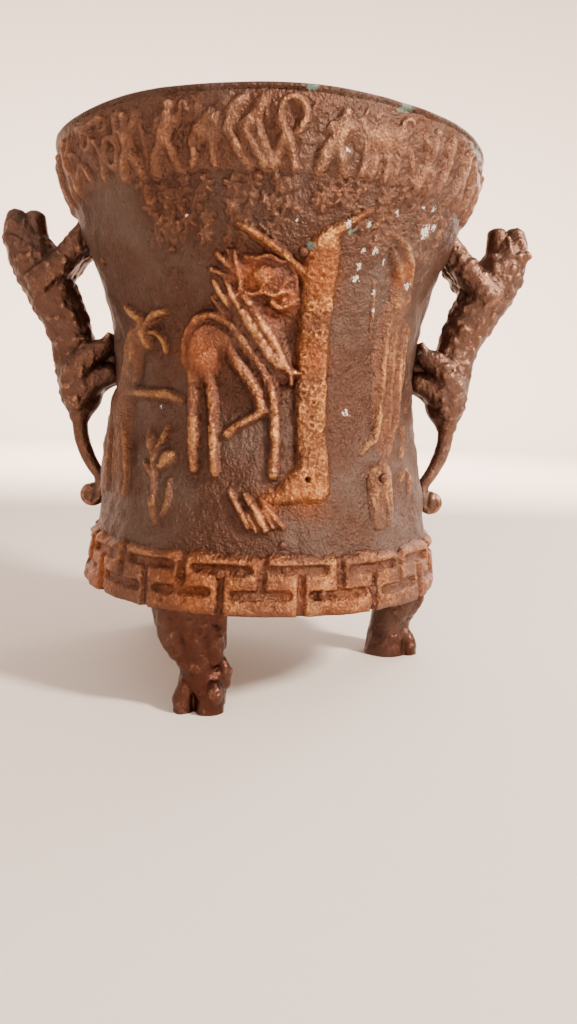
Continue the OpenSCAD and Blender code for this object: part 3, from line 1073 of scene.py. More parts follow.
    def build_floor(self) -> bpy.types.Object:
        """Makes the floor plate: a dished disc with a rounded edge.

        Returns:
            The piece.
        """
        low, high = box_mm("floor_plate")
        bpy.ops.mesh.primitive_cylinder_add(vertices=128, radius=high[0] * MM,
                                            depth=(high[2] - low[2]) * MM,
                                            location=(0, 0, (high[2] + low[2]) / 2 * MM))
        piece = bpy.context.active_object
        piece.name = "pot_floor"
        bpy.ops.object.transform_apply()
        bpy.ops.object.mode_set(mode="EDIT")
        bpy.ops.mesh.select_all(action="SELECT")
        bpy.ops.mesh.bevel(offset=0.8 * MM, segments=2)
        bpy.ops.mesh.select_all(action="DESELECT")
        bpy.ops.object.mode_set(mode="OBJECT")
        for _ in range(9):
            caps = np.array([abs(f.normal.z) > 0.99 and len(f.vertices) > 40
                             for f in piece.data.polygons])
            piece.data.polygons.foreach_set("select", caps)
            bpy.ops.object.mode_set(mode="EDIT")
            bpy.ops.mesh.select_mode(type="FACE")
            bpy.ops.mesh.inset(thickness=8 * MM)
            bpy.ops.object.mode_set(mode="OBJECT")
        p = points_of(piece)
        reach = np.hypot(p[:, 0], p[:, 1]) / high[0]
        dish = 0.5 * reach ** 2 - 0.5 + 0.12 * np.sin(p[:, 0] / 6)
        p[:, 2] += (p[:, 2] > high[2] - 0.3) * dish
        place_points(piece, p)
        tidy_shell(piece)
        store(piece, "wear", np.full(len(piece.data.vertices), -0.3))
        dress(piece, INSIDE_BRASS)
        fixed_to_pot(piece, "dark_inside", "floor_plate")
        return piece

    def build_pins(self, places: Sequence[tuple[float, float, float]]) -> bpy.types.Object:
        """Makes the round heads of the core pins.

        Args:
            places: azimuth, height and stand-off of each pin on half the pot.

        Returns:
            The pins as one piece.
        """
        heads = []
        for half, (azimuth, z, out) in product(Half, places):
            round_pot, up = np.array(azimuth + half.value), np.array(z)
            side = float(self.wall.radius(round_pot, up))
            deselect()
            bpy.ops.mesh.primitive_uv_sphere_add(
                segments=28, ring_count=16, radius=self.pin_radius * MM,
                location=polar_mm(round_pot, np.array(side + out - 0.3), up) * MM,
                rotation=(math.radians(90), 0, math.radians(azimuth + half.value)),
                scale=(1, 1, 0.85))
            heads.append(bpy.context.active_object)
        piece = join(heads, "core_pin_heads")
        tidy_shell(piece)
        store(piece, "wear", np.full(len(piece.data.vertices), 0.2))
        dress(piece, RELIEF_BRASS)
        fixed_to_pot(piece, "rubbed_band", "core_pins")
        return piece


def join(pieces: Sequence[bpy.types.Object], name: str) -> bpy.types.Object:
    """Joins pieces into one, with its place in its mesh.

    Args:
        pieces: objects to join.
        name: the joined piece's name.

    Returns:
        The piece.
    """
    deselect()
    for piece in pieces:
        piece.select_set(True)
    bpy.context.view_layer.objects.active = pieces[0]
    bpy.ops.object.join()
    joined = bpy.context.active_object
    joined.name = name
    bpy.ops.object.transform_apply()
    return joined


# ------------------------------------------------------------------ the reliefs


@dataclass
class FrontScene:
    """Raised animals, trees and plants on the wall; the back repeats them.

    Knots are azimuth, height on the wall, width and rise.
    """

    wall: WallForm
    pieces: WallPieces
    maps: dict[str, ReliefMap] = field(default_factory=dict)

    def draw(self) -> None:
        """Draws every relief of the scene on its own map."""
        for name, drawing, lift in (
                ("giraffe_adult", self.grown_giraffe, 1.1), ("giraffe_calf", self.calf, 1.3),
                ("tree_centre", self.middle_tree, 1.05), ("tree_side", self.side_tree, 1.25),
                ("grass", self.grass, 1.2), ("leaf_plant", self.leaf_plant, 1.2),
                ("leaf_sprays", self.leaf_sprays, 1.0)):
            relief = ReliefMap(self.wall)
            drawing(relief)
            relief.lift(lift)
            self.maps[name] = relief

    def grown_giraffe(self, m: ReliefMap) -> None:
        """Arched rump, straight hind legs, one bent foreleg and a low forked head.

        Args:
            m: the map to draw on.
        """
        # broad masses
        m.stroke((-22, 146, 14, 2), (-20.4, 154, 18, 2.6), (-14.5, 157, 17, 2.9),
                 (-8.5, 153, 15, 2.9), (-3, 145, 12, 2.6), (1, 136, 9, 2.2))
        m.stroke((-12, 180, 9, 1.6), (-8, 178, 14, 2.2), (-2, 179, 16, 2.6), (4.4, 176, 14, 2.4),
                 (7.6, 170, 9, 1.8))
        m.stroke((-11, 174, 13, 2.6), (-5.6, 164, 16, 3.4), (-0.8, 155, 15.6, 3.5),
                 (3.6, 147, 12, 3), (7, 142.6, 6, 2.4))
        m.soften(0.9)
        # rump and hind legs
        m.dome(-20.4, 151, 17, 27, 3.9, power=2.6, lean=-3)
        m.stroke((-24, 143, 7, 2.6), (-23.7, 134, 6.4, 2.5), (-23.5, 121, 5.8, 2.3),
                 (-22.2, 103.6, 4.8, 1.7))
        m.stroke((-18.4, 141, 6, 2.6), (-17.4, 132, 5.2, 2.5), (-16.4, 118, 4.8, 2.4),
                 (-14.6, 102.2, 4.2, 1.8))
        # back, shoulder and straight foreleg
        m.stroke((-27.4, 146, 3.2, 1.6), (-27, 154.6, 3.8, 2.2), (-23.6, 161.4, 4.4, 2.7),
                 (-18.4, 164.6, 4.8, 3.1), (-13.2, 163, 5.4, 3.5), (-8.6, 157.6, 6.2, 3.8),
                 (-4.6, 150.6, 6.6, 3.8), (-0.8, 143.6, 6.2, 3.6), (1.7, 135.6, 5.6, 3.3),
                 (2.9, 127, 5.2, 3.1), (3.4, 116, 5, 2.8), (2.9, 101.8, 5, 2.3))
        # near shoulder and bent foreleg
        m.stroke((-11.4, 151.4, 6.4, 2.9), (-9.4, 148, 7.4, 3.4), (-5.2, 141, 7.2, 3.7),
                 (-1.9, 133, 6.6, 3.5), (-0.8, 127.4, 5.8, 3.1))
        m.stroke((0, 127.4, 4.6, 2.8), (-4.4, 124.4, 4.6, 2.4), (-8.8, 121.2, 4.4, 2.2),
                 (-11.6, 118, 4.8, 2.1))
        # neck: two lumpy ridges that run down to a forked muzzle
        m.stroke((-11.2, 173.4, 4.6, 3.4), (-8.6, 168.4, 5.4, 4.2), (-5.8, 162.6, 5.8, 4.7),
                 (-3, 156.6, 5.6, 4.8), (-0.6, 151.4, 5.2, 4.7), (2.4, 147, 4.6, 4.4),
                 (6.4, 144, 3.8, 4.1), (11, 142.8, 3, 3.4))
        m.stroke((-7.2, 172, 4.6, 4), (-4, 166, 5.4, 4.5), (-0.6, 159.8, 5.8, 4.9),
                 (2.6, 153.8, 5.4, 4.9), (5.2, 148, 4.8, 4.5), (7.4, 143, 3.6, 3.8),
                 (8.3, 138.8, 2.8, 3))
        m.stroke((-9.4, 170, 4.2, 4), (-6.4, 165, 4.8, 4.8), (-3.4, 159.6, 5, 5.1),
                 (-0.6, 154, 4.8, 5.1), (2.2, 149.4, 4.2, 4.9), (5.6, 145.4, 3.4, 4.4))
        for azimuth, z, wide in ((-7.4, 165.8, 5.6), (-4.2, 159.8, 5), (-1.6, 154, 5.2),
                                 (0.8, 149.4, 4.6), (-2.4, 163.4, 5), (0.8, 157.8, 5.2),
                                 (3.2, 153.2, 4.6), (5, 149, 4.4), (-5.4, 169.4, 4.8),
                                 (6.6, 145, 3.8)):
            m.dome(azimuth, z, wide, wide * 0.95, 5.5)
        # ears and horns over the neck
        m.stroke((-15.8, 178, 3, 2.2), (-14, 173.6, 4, 4), (-11.6, 168.8, 3.2, 4.2))
        m.stroke((-12.4, 178.4, 2.8, 3), (-10.6, 173.6, 3.6, 4.6), (-9, 168.6, 3, 4.8))
        m.stroke((-16.8, 172, 2.4, 1.6), (-14.8, 168.2, 3, 2.6), (-12.8, 165.6, 2.8, 3))
        # second head above: smooth cheek, leafy brow, twigs and lips
        m.dome(-1.4, 179.4, 12.5, 11.5, 4, power=2.4, lean=-16)
        m.dome(5, 178, 8, 8, 3.3, power=2.2)
        m.stroke((-14.4, 187.4, 2.6, 1.8), (-11.6, 183.6, 3.6, 3), (-9, 180.4, 3, 3.2))
        m.stroke((-16.4, 182, 2.8, 1.8), (-13, 180, 3.6, 3), (-9.4, 178, 3, 3.2))
        m.stroke((-9.4, 188.4, 2.4, 2.2), (-8.8, 182.4, 3, 3.4), (-7.8, 176.4, 3.4, 3.9),
                 (-8.8, 172.4, 2.8, 3.6))
        m.stroke((-11.4, 189, 2, 1.4), (-10.6, 184.6, 2.4, 2.4), (-9.4, 180, 2.4, 2.8))
        m.stroke((-6.4, 186.6, 2.6, 2.2), (-3.2, 186, 2.8, 2.8), (0.4, 186.8, 2.6, 2.6),
                 (3.4, 184.8, 2.8, 2.8), (6, 185.6, 2.4, 2.2))
        m.stroke((6.2, 184, 2.6, 2.4), (8, 179.4, 2.8, 2.8), (8.4, 174.8, 2.6, 2.4))
        m.stroke((-8, 174.4, 2.6, 3.4), (-4.8, 172.6, 3, 3.9), (-1.6, 173.6, 2.8, 3.7),
                 (1.4, 172.4, 3, 4), (4.6, 173.8, 2.8, 3.7), (8, 172.6, 2.6, 2.8))
        m.stroke((-2.8, 173.4, 2.2, 3.4), (-0.8, 176.8, 2.4, 4.2), (1.4, 179.6, 2, 4.2))
        m.stroke((3, 173.2, 2.2, 3.4), (4.8, 176.8, 2.4, 3.6), (6.8, 179, 2, 3.2))
        m.stroke((1, 170, 2.8, 3.2), (3.4, 168.2, 3.4, 3.6), (6, 168.8, 3, 3.2),
                 (8.2, 170.6, 2.4, 2.6))
        m.dome(4.6, 170.8, 3.4, 3, 3.9)
        # creases between the parts
        m.crease((-10.2, 154.4, 1.6, -1), (-7.6, 149.6, 1.8, -1.2), (-4.2, 143.6, 1.8, -1.1),
                 (-1, 137.2, 1.5, -1), (0.7, 130, 1.3, -0.8))
        m.crease((-25.2, 153, 1.3, -0.5), (-22.4, 159.6, 1.5, -0.9), (-17.8, 162, 1.6, -1.1),
                 (-13.2, 160, 1.7, -1.2), (-10.4, 156, 1.6, -1.1))
        m.crease((-20.6, 137.6, 1.6, -1), (-20, 124, 1.6, -1), (-18.6, 104, 1.5, -0.7))
        m.crease((-26, 137.4, 1.3, -0.6), (-20, 136.6, 1.5, -0.6), (-15, 138.6, 1.3, -0.5))
        for i in range(9):
            m.crease((-9.4 + 1.5 * i, 170 - 2.8 * i, 1, -0.6),
                     (-8.2 + 1.5 * i, 170.4 - 2.8 * i, 1, -0.6))
        m.crease((-12.6, 171, 1, -0.8), (-10.4, 166.6, 1, -0.8))
        m.crease((-6, 182.6, 1.2, -0.7), (-1, 183.8, 1.3, -0.8), (3.6, 182, 1.2, -0.7))
        m.stipple(11, 2400, (-28, 12, 100, 142), 1.2, 0.34)
        m.stipple(12, 900, (-12, 12, 141, 190), 1.3, 0.32)
        m.stipple(13, 260, (-29, -12, 141, 168), 1.2, 0.14)
        m.soften(0.5)

    def calf(self, m: ReliefMap) -> None:
        """Spread ears, lowered face, straight legs and one leg held out.

        Args:
            m: the map to draw on.
        """
        m.stroke((-46, 158, 12, 2.2), (-50.6, 155, 13, 2.5), (-53.6, 147, 14, 2.8),
                 (-57, 137, 17, 2.9), (-63, 127, 21, 2.7))
        m.stroke((-70, 128, 16, 2.2), (-71, 112, 15, 1.9), (-71, 92, 13, 1.2))
        m.stroke((-59, 128, 15, 2.3), (-57, 112, 14, 1.9), (-55.6, 92, 12, 1.1))
        m.soften(1.2)
        m.stroke((-43.8, 162.6, 4.2, 2), (-48, 166, 5.4, 2.6), (-53, 169.6, 3.4, 1.8))
        m.stroke((-43, 161.4, 4.2, 2), (-39, 165, 5.2, 2.6), (-33.8, 166.4, 3.2, 1.8))
        m.stroke((-45.4, 160.6, 6.4, 2.4), (-43.6, 156.8, 6.2, 2.6), (-42.8, 153.4, 4.6, 2))
        m.stroke((-41.6, 158.4, 3, 2), (-38.4, 158.4, 3.4, 2.2), (-35.8, 155.4, 3.2, 1.9),
                 (-35.4, 151, 2.8, 1.3))
        m.stroke((-46.4, 160.8, 6, 2.2), (-51.2, 157.4, 7, 2.6), (-54.6, 150.6, 7.4, 2.8),
                 (-56.2, 142, 8, 2.9), (-57, 134, 9, 2.7))
        m.stroke((-48.6, 152, 3.4, 1.8), (-49.8, 145, 3.6, 2), (-50.4, 138, 4, 2.2))
        m.stroke((-57, 134.6, 8, 2.6), (-50, 133.8, 6, 2.6), (-41, 133.2, 5.6, 2.6),
                 (-34, 133, 5.4, 2.2), (-28.6, 131, 4.6, 1.4))
        for azimuth, bend in ((-75, 1), (-69, 4.6), (-62, 3.6), (-57.6, 7.6)):
            m.stroke((azimuth, 123, 4.6, 2.2), (azimuth + bend * 0.7, 112, 3.8, 2.2),
                     (azimuth + bend, 101, 3.4, 1.8), (azimuth + bend * 1.05, 90, 3.2, 1.2))
        m.crease((-52.6, 129, 1.8, -1.2), (-44, 129, 1.7, -1.2), (-33, 129, 1.6, -0.8))
        m.crease((-49, 137.2, 1.4, -0.8), (-40, 136.6, 1.4, -0.8), (-32, 136, 1.2, -0.6))
        m.stipple(21, 1500, (-78, -28, 90, 168), 1.3, 0.28)
        m.soften(0.6)

    def middle_tree(self, m: ReliefMap) -> None:
        """A bark trunk on a boot-shaped root, forked into two branches.

        Args:
            m: the map to draw on.
        """
        m.stroke((15.3, 97.6, 12.4, 2.9), (15.2, 108, 12.6, 2.9), (15.2, 125, 12.6, 2.9),
                 (15.1, 150, 12.8, 2.9), (15, 172, 13.2, 2.8), (15, 185, 13.6, 2.7),
                 (15.6, 191, 11, 2.5), crest=Crest.BLUNT)
        m.stroke((16.4, 96, 10, 3.1), (12.4, 96.4, 10.4, 3), (8.6, 95.2, 9, 2.4),
                 (5, 93.2, 6.4, 1.7), (1.4, 91.8, 3.6, 1))
        m.stroke((13, 104, 9, 3), (10.6, 100, 9, 2.8), (7.4, 96.6, 7, 2), (4, 94, 4.4, 1.1))
        m.stroke((15, 183, 8, 3), (10, 181.6, 5.4, 3), (5.4, 186, 4.4, 2.9), (0, 191, 4, 2.6),
                 (-4, 194.6, 3.6, 2.2), (-8.6, 198, 2.8, 1.5))
        m.stroke((13.4, 192, 6, 2.8), (16.4, 195.6, 5.6, 2.7), (19.8, 199, 4.4, 2.3),
                 (23.4, 202.6, 3.4, 1.7), (26.6, 205.4, 2.6, 1))
        m.soften(0.5)
        rng = np.random.default_rng(5)
        rings = np.zeros_like(m.height)
        for z in np.arange(104, 190, 4.3):
            for azimuth in (11.9, 15.1, 18.2):
                a, h = azimuth + rng.normal(0, 0.45), z + rng.normal(0, 0.9)
                for win, off in m.around(a, h, 2.8):
                    rings[win] += rng.uniform(0.3, 0.8) * np.exp(-((off - 1.5) / 0.45) ** 2)
        raised = m.height > 1.3
        m.height[raised] += rings[raised]
        for azimuth in (8, 10.6, 13.4, 16.2, 18.6):
            m.crease((azimuth, 95.4, 1, -0.35), (azimuth - 0.5, 90.6, 0.9, -0.35))
        m.crease((13.1, 100.4, 2, -2.2), (13.12, 100.2, 2, -2.2))
        m.stipple(31, 1800, (1, 21, 88, 198), 1.2, 0.28)
        m.soften(0.3)

    def side_tree(self, m: ReliefMap) -> None:
        """A ribbed trunk with a swollen, bent crown, standing over a block.

        Args:
            m: the map to draw on.
        """
        m.stroke((47, 166, 19, 2), (48, 148, 20, 1.9), (47.6, 130, 17, 1.6), (46, 114, 12, 1))
        m.stroke((40.6, 196, 7, 1.4), (45.6, 189, 10, 2), (47.4, 178, 14, 2.4),
                 (46.6, 166, 15, 2.2))
        m.soften(1.1)
        for azimuth, low, high, rise in ((43.4, 128, 167, 2.7), (47.8, 112, 165, 2.6),
                                         (52.4, 122, 166, 3), (55.6, 138, 165, 2.4)):
            m.stroke((azimuth + 0.4, low, 3.8, rise * 0.6),
                     (azimuth, (low + high) / 2, 4.6, rise),
                     (azimuth - 0.4, high, 4.4, rise * 0.85))
        m.dome(46, 174.4, 13, 15, 3, power=2.4)
        m.stroke((33.4, 199, 3, 1.2), (37, 198, 4, 1.9), (41, 195, 4.6, 2.5),
                 (45.6, 190, 4.8, 2.8), (48.6, 182.6, 4.6, 2.7), (50.4, 176, 4, 2.3))
        m.stroke((38, 192, 3.4, 1.6), (41.6, 187.6, 4.4, 2.4), (45, 182.6, 4.4, 2.8))
        m.stroke((33, 110.4, 2.6, 1), (36.4, 114.4, 4, 1.8), (40, 118, 4.4, 2.3),
                 (42.6, 124.4, 4.2, 2.4), (43, 131, 3.6, 2.2))
        m.stroke((46.4, 112.4, 3, 1.2), (49.6, 117.6, 3.8, 1.9), (52.4, 125, 3.8, 2.2))
        m.stroke((38.4, 101, 9, 1.9), (38.2, 90, 8.4, 2), (38.2, 82, 7.6, 1.4), crest=Crest.BLUNT)
        m.stroke((42.8, 103.4, 8, 2.4), (43.2, 92, 8, 2.4), (42.8, 82.6, 6.4, 1.6))
        m.stroke((41.2, 101, 2.4, 3), (41.2, 92, 2.4, 3), (42, 83, 2, 2.2))
        m.crease((35.4, 107.4, 1.6, -0.8), (39.4, 109.4, 1.8, -0.9), (43.6, 108, 1.5, -0.8))
        m.stroke((52, 98, 2.6, 0.8), (55.4, 103, 3, 1), (58.6, 98.6, 2.8, 0.9),
                 (57.4, 92.6, 2.6, 0.7))
        m.stroke((54.6, 108, 2.6, 0.8), (57.4, 114, 2.8, 1), (58.6, 122, 2.6, 0.8))
        m.stroke((33.6, 181, 1.6, 0.7), (34.6, 175, 2, 1), (35.4, 169, 2, 1.1),
                 (36.1, 158.6, 1.4, 0.6))
        m.stipple(41, 2000, (31, 60, 80, 198), 1.3, 0.34)
        m.soften(0.5)

    def grass(self, m: ReliefMap) -> None:
        """Claw-like blades that spread downwards.

        Args:
            m: the map to draw on.
        """
        m.stroke((-10, 95.4, 2, 1.2), (-8.2, 91, 3, 1.9), (-6, 86, 3.2, 2.1),
                 (-4, 80.6, 2.6, 1.7))
        m.stroke((-5.4, 93.6, 2.4, 1.4), (-3, 89.4, 3.6, 2.3), (-1, 85, 3.8, 2.5),
                 (1, 79.8, 3, 1.9))
        m.stroke((-4.4, 86, 2.6, 1.9), (-2.8, 82.4, 2.8, 1.8), (-1.6, 79, 2.2, 1.3))
        m.stroke((-0.6, 92.4, 2.4, 1.4), (1.4, 88.2, 3.4, 2.2), (3.8, 84.4, 3.4, 2.1),
                 (6.2, 81, 2.6, 1.6))
        m.stroke((0, 88, 2.4, 1.8), (1.8, 84.4, 2.8, 1.9), (3.2, 80.8, 2.4, 1.4))
        m.stroke((1.6, 96.4, 1.8, 0.7), (3.6, 93.6, 2.2, 1), (6, 91, 1.8, 0.7))
        m.stipple(45, 160, (-10, 7, 79, 96), 1.1, 0.24)
        m.soften(0.45)

    def leaf_plant(self, m: ReliefMap) -> None:
        """A stem with a broad bright leaf, spiky leaves above and a forked foot.

        Args:
            m: the map to draw on.
        """
        m.stroke((-34.4, 79, 3, 0.9), (-35, 88, 3.4, 1.4), (-36, 98, 3.6, 1.6),
                 (-37.4, 108, 4, 1.7), (-39, 116, 3, 1.2))
        m.stroke((-37.8, 93.4, 2.6, 1.1), (-36.2, 87, 3, 1.4), (-34.6, 79.6, 2.4, 1))
        m.stroke((-30.2, 98, 3, 0.9), (-30, 90, 3.6, 1.2), (-31.8, 83.6, 2.8, 0.9))
        m.stroke((-34.4, 103.4, 3.4, 1.6), (-32, 106.6, 7, 2.4), (-29.6, 108.4, 3.6, 1.6))
        m.stroke((-37.6, 108, 3.6, 1.5), (-39.6, 112, 4.2, 1.9), (-41, 118.6, 2.8, 1.1))
        m.stroke((-36.4, 111, 3, 1.3), (-34.4, 115, 3.4, 1.6), (-33.6, 120, 2.4, 0.9))
        m.stroke((-37, 99, 3, 1.3), (-39.8, 102.6, 3.4, 1.4), (-42, 105, 2.4, 0.9))
        m.stipple(51, 420, (-43, -28, 78, 121), 1.2, 0.36)
        m.soften(0.5)

    def leaf_sprays(self, m: ReliefMap) -> None:
        """Bursts of thin leaves, scratched low in the tree crowns under the frieze.

        Args:
            m: the map to draw on.
        """
        rng = np.random.default_rng(17)
        for centre in np.arange(-34, 56, 5.6):
            for row in range(4):
                azimuth = centre + rng.normal(0, 1.2) + 1.8 * (row % 2)
                z = 194.6 + row * 5.6 + rng.normal(0, 0.8)
                if 3 < azimuth < 23 and z < 202:
                    continue
                start, leaves = rng.uniform(0, 360), rng.integers(6, 9)
                for k in range(leaves):
                    angle = math.radians(start + 360 / leaves * k + rng.normal(0, 16))
                    reach = rng.uniform(2.6, 4.6)
                    rise = rng.uniform(0.9, 1.6)
                    way = np.array([math.degrees(math.sin(angle) / 88), math.cos(angle)])
                    near, far = (np.array([azimuth, z]) + reach * f * way for f in (0.25, 1))
                    m.stroke((*near, 1.3, rise * 0.7), (*((near + far) / 2), 1.7, rise),
                             (far[0], min(far[1], 214.6), 1.5, rise * 0.4), pieces=2)
        m.soften(0.35)

    def build(self) -> None:
        """Lays each drawing on the front of the wall, and again behind."""
        finishes = {"tree_centre": ("bark_relief", BARK_BRASS),
                    "tree_side": ("bark_relief", DIM_BRASS),
                    "leaf_sprays": ("rubbed_relief", LEAF_BRASS),
                    "giraffe_calf": ("rubbed_relief", DIM_BRASS),
                    "leaf_plant": ("rubbed_relief", DIM_BRASS)}
        for name, relief in self.maps.items():
            slot, finish = finishes.get(name, ("rubbed_relief", RELIEF_BRASS))
            self.pieces.lay_round(f"{name}_{{}}_relief", relief, slot, finish, f"{name}_{{}}")


@dataclass
class Bands:
    """The key band round the foot and the frieze under the lip."""

    wall: WallForm
    pieces: WallPieces
    key_out: float = 3.0
    key_depth: float = 1.9
    repeats: int = 16
    ornaments: int = 520
    frieze_out: float = 0.7
    key: ReliefMap | None = None
    ground: ReliefMap | None = None
    procession: ReliefMap | None = None

    def draw_key(self) -> ReliefMap:
        """Draws the band of interlocking T grooves, hand-cut and uneven.

        Returns:
            The map.
        """
        m = ReliefMap(self.wall)
        rng = np.random.default_rng(3)
        foot, top = self.wall.foot_z, self.wall.foot_z + self.wall.band_h
        turn = np.radians(m.az)
        ragged = top - 1 + 0.6 * np.sin(turn * 14) + 0.4 * np.sin(turn * 38)
        over = ragged[:, None] - m.z[None, :]
        m.height = np.clip(np.minimum(self.key_out, over * 1.3), m.below, self.key_out)
        chipped = 0.7 * np.sin(turn * 26) + 0.5 * np.sin(turn * 58 + 1)
        m.height -= 1.1 * np.clip(1 - (m.z[None, :] - foot) / (2.4 + chipped[:, None]), 0, 1)
        pitch = 360 / self.repeats
        low, high = foot + 8.6, foot + 18.6
        cut = ReliefMap(self.wall)
        cut.height[:] = 0
        for i in range(-self.repeats // 4 - 1, self.repeats // 4 + 2):
            a, b = i * pitch, (i + 0.5) * pitch
            j = rng.normal(0, 0.3, 10)
            half = pitch * 0.33
            deep = self.key_depth * (1 + 0.12 * j[1])
            wide = 3.9 + 0.6 * j[0]
            cut.stroke((a + j[2] + 0.5, top + 2, wide, deep), (a + j[3], low, wide * 0.9, deep),
                       crest=Crest.BLUNT)
            cut.stroke((a - half + j[4], low + j[5], 3.8, deep),
                       (a + half + j[4], low + j[6], 4, deep), crest=Crest.BLUNT)
            cut.stroke((b + j[5], foot - 3, wide * 0.85, deep),
                       (b + j[6], high, wide * 0.8, deep), crest=Crest.BLUNT)
            cut.stroke((b - half + j[7], high + j[2], 3.8, deep),
                       (b + half + j[7], high + j[3], 4, deep), crest=Crest.BLUNT)
        m.height -= np.maximum(cut.height, 0)
        m.roughen(8, 0.4, (0.7, 0.7), (1.6, 2.2))
        m.soften(0.3)
        return m

    def draw_frieze_ground(self) -> ReliefMap:
        """Draws the low ground of the frieze, with its small stamped ornament.

        Returns:
            The map.
        """
        m = ReliefMap(self.wall)
        low = self.wall.frieze_z
        over = (m.z - low + 1)[None, :] * 0.5 * np.ones_like(m.height)
        under = (self.wall.top_z - self.wall.lip_h + 1 - m.z)[None, :] * 0.8
        m.height = np.clip(np.minimum(over, under), m.below, self.frieze_out)
        rng = np.random.default_rng(9)
        for _ in range(self.ornaments):
            azimuth, z = rng.uniform(-90, 90), rng.uniform(low + 3, low + 22)
            size, rise = rng.uniform(0.9, 2.4), rng.uniform(0.3, 0.6)
            for win, off in m.around(azimuth, z, 3.4):
                m.height[win] += rise * np.exp(-((off - size) / 0.45) ** 2)
        m.roughen(10, 0.1, (1.6, 1.5))
        m.soften(0.4)
        return m

    def raised(self, m: ReliefMap, *knots: Knot) -> None:
        """Draws a stroke with heights over the frieze's foot and rises over its ground."""
        low, out = self.wall.frieze_z, self.frieze_out
        m.stroke(*[(a, low + z, width, out + rise) for a, z, width, rise in knots])

    def figure(self, m: ReliefMap, a: float, tall: float = 1.0, stride: float = 2.6,
               lean: float = 0.0, arms: tuple[float, float] = (18.0, 17.0)) -> None:
        """A small stout striding figure with raised arms.

        Args:
            m: the map to draw on.
            a: azimuth of its middle.
            tall: its height against the usual one.
            stride: how far each foot stands from the middle, in degrees.
            lean: how far its head is from over its feet, in degrees.
            arms: heights of the left and right hand over the band's foot.
        """
        low = self.wall.frieze_z
        out = self.frieze_out
        for side in (-1, 1):
            self.raised(m, (a + side * stride, 0.6, 4.4, 1),
                        (a + side * stride * 0.6, 5.4 * tall, 5, 1.7),
                        (a + lean * 0.2, 10 * tall, 5.4, 2))
        self.raised(m, (a, 9 * tall, 6, 2.1), (a + lean * 0.5, 13 * tall, 7, 2.3),
                    (a + lean * 0.8, 16.4 * tall, 6, 2))
        m.dome(a + lean, low + 19.6 * tall, 5.8, 5.6, out + 2.2)
        for side, hand in zip((-1, 1), arms):
            self.raised(m, (a + lean * 0.7, 16 * tall, 4, 1.8),
                        (a + lean * 0.7 + side * 2.2, 15.2 * tall, 3.9, 1.7),
                        (a + lean * 0.8 + side * 3.6, hand, 3.4, 1.2))

    def beast(self, m: ReliefMap, a: float, half: float = 4.6, head: int = 1,
              fat: float = 9.0) -> None:
        """A small stout four-legged beast.

        Args:
            m: the map to draw on.
            a: azimuth of its middle.
            half: half its length in degrees.
            head: 1 for a head at the right, -1 at the left.
            fat: depth of its body.
        """
        self.raised(m, (a - half, 12, fat * 0.8, 1.5), (a, 12.6, fat, 2.1),
                    (a + half, 12, fat * 0.85, 1.7))
        for share in (-0.95, -0.4, 0.35, 0.9):
            x = a + half * share
            self.raised(m, (x, 10, 4.8, 1.7), (x + 0.4, 5.4, 4.4, 1.6),
                        (x + 0.2 + share * 0.5, 1, 4, 1))
        self.raised(m, (a + head * half, 13, 5, 1.8), (a + head * (half + 1.6), 16.6, 4.6, 1.9),
                    (a + head * (half + 3.2), 16.8, 3.6, 1.4))
        self.raised(m, (a + head * (half + 1.4), 17, 2, 1.4),
                    (a + head * (half + 0.6), 21.6, 1.8, 1))

    def draw_procession(self) -> ReliefMap:
        """Draws the people and beasts that walk round under the lip.

        Returns:
            The map.
        """
        m = ReliefMap(self.wall, widen=1.38)
        low = self.wall.frieze_z
        out = self.frieze_out
        self.figure(m, -83, stride=2.4)
        self.figure(m, -75, stride=2.6, arms=(12, 19))
        self.figure(m, -63, stride=3, arms=(14, 20), lean=0.8)
        m.ring(-58, low + 10, 6.4, 2.8, out + 1.3, tall=1.2)
        self.raised(m, (-59, 4.6, 3.4, 1.2), (-54.6, 8.6, 3.6, 1.6), (-51.6, 2.4, 3.2, 1.1))
        m.ring(-49.6, low + 15.4, 7, 3, out + 1.4, tall=0.9)
        self.raised(m, (-53, 21, 3, 1.2), (-48, 20.6, 3.4, 1.5), (-43, 21.6, 3, 1.3))
        self.raised(m, (-45.6, 1.6, 3.2, 1), (-44.4, 9, 3.8, 1.6), (-46, 14, 3.4, 1.6))
        m.ring(-40.8, low + 9, 7.6, 3.2, out + 1.5, tall=1.35)
        m.ring(-42.6, low + 19, 4.6, 2.4, out + 1.3)
        self.figure(m, -35.4, stride=2.6, arms=(21, 20), lean=0.6)
        self.raised(m, (-38.4, 14, 3, 1.4), (-37.6, 19, 3, 1.5), (-36, 22.4, 2.6, 1.1))
        self.raised(m, (-30.4, 6, 2.4, 0.7), (-30.2, 13, 2.6, 1), (-30.4, 20, 2.2, 0.7))
        self.figure(m, -25.2, tall=1.05, stride=3.4, lean=2.6, arms=(13, 21))
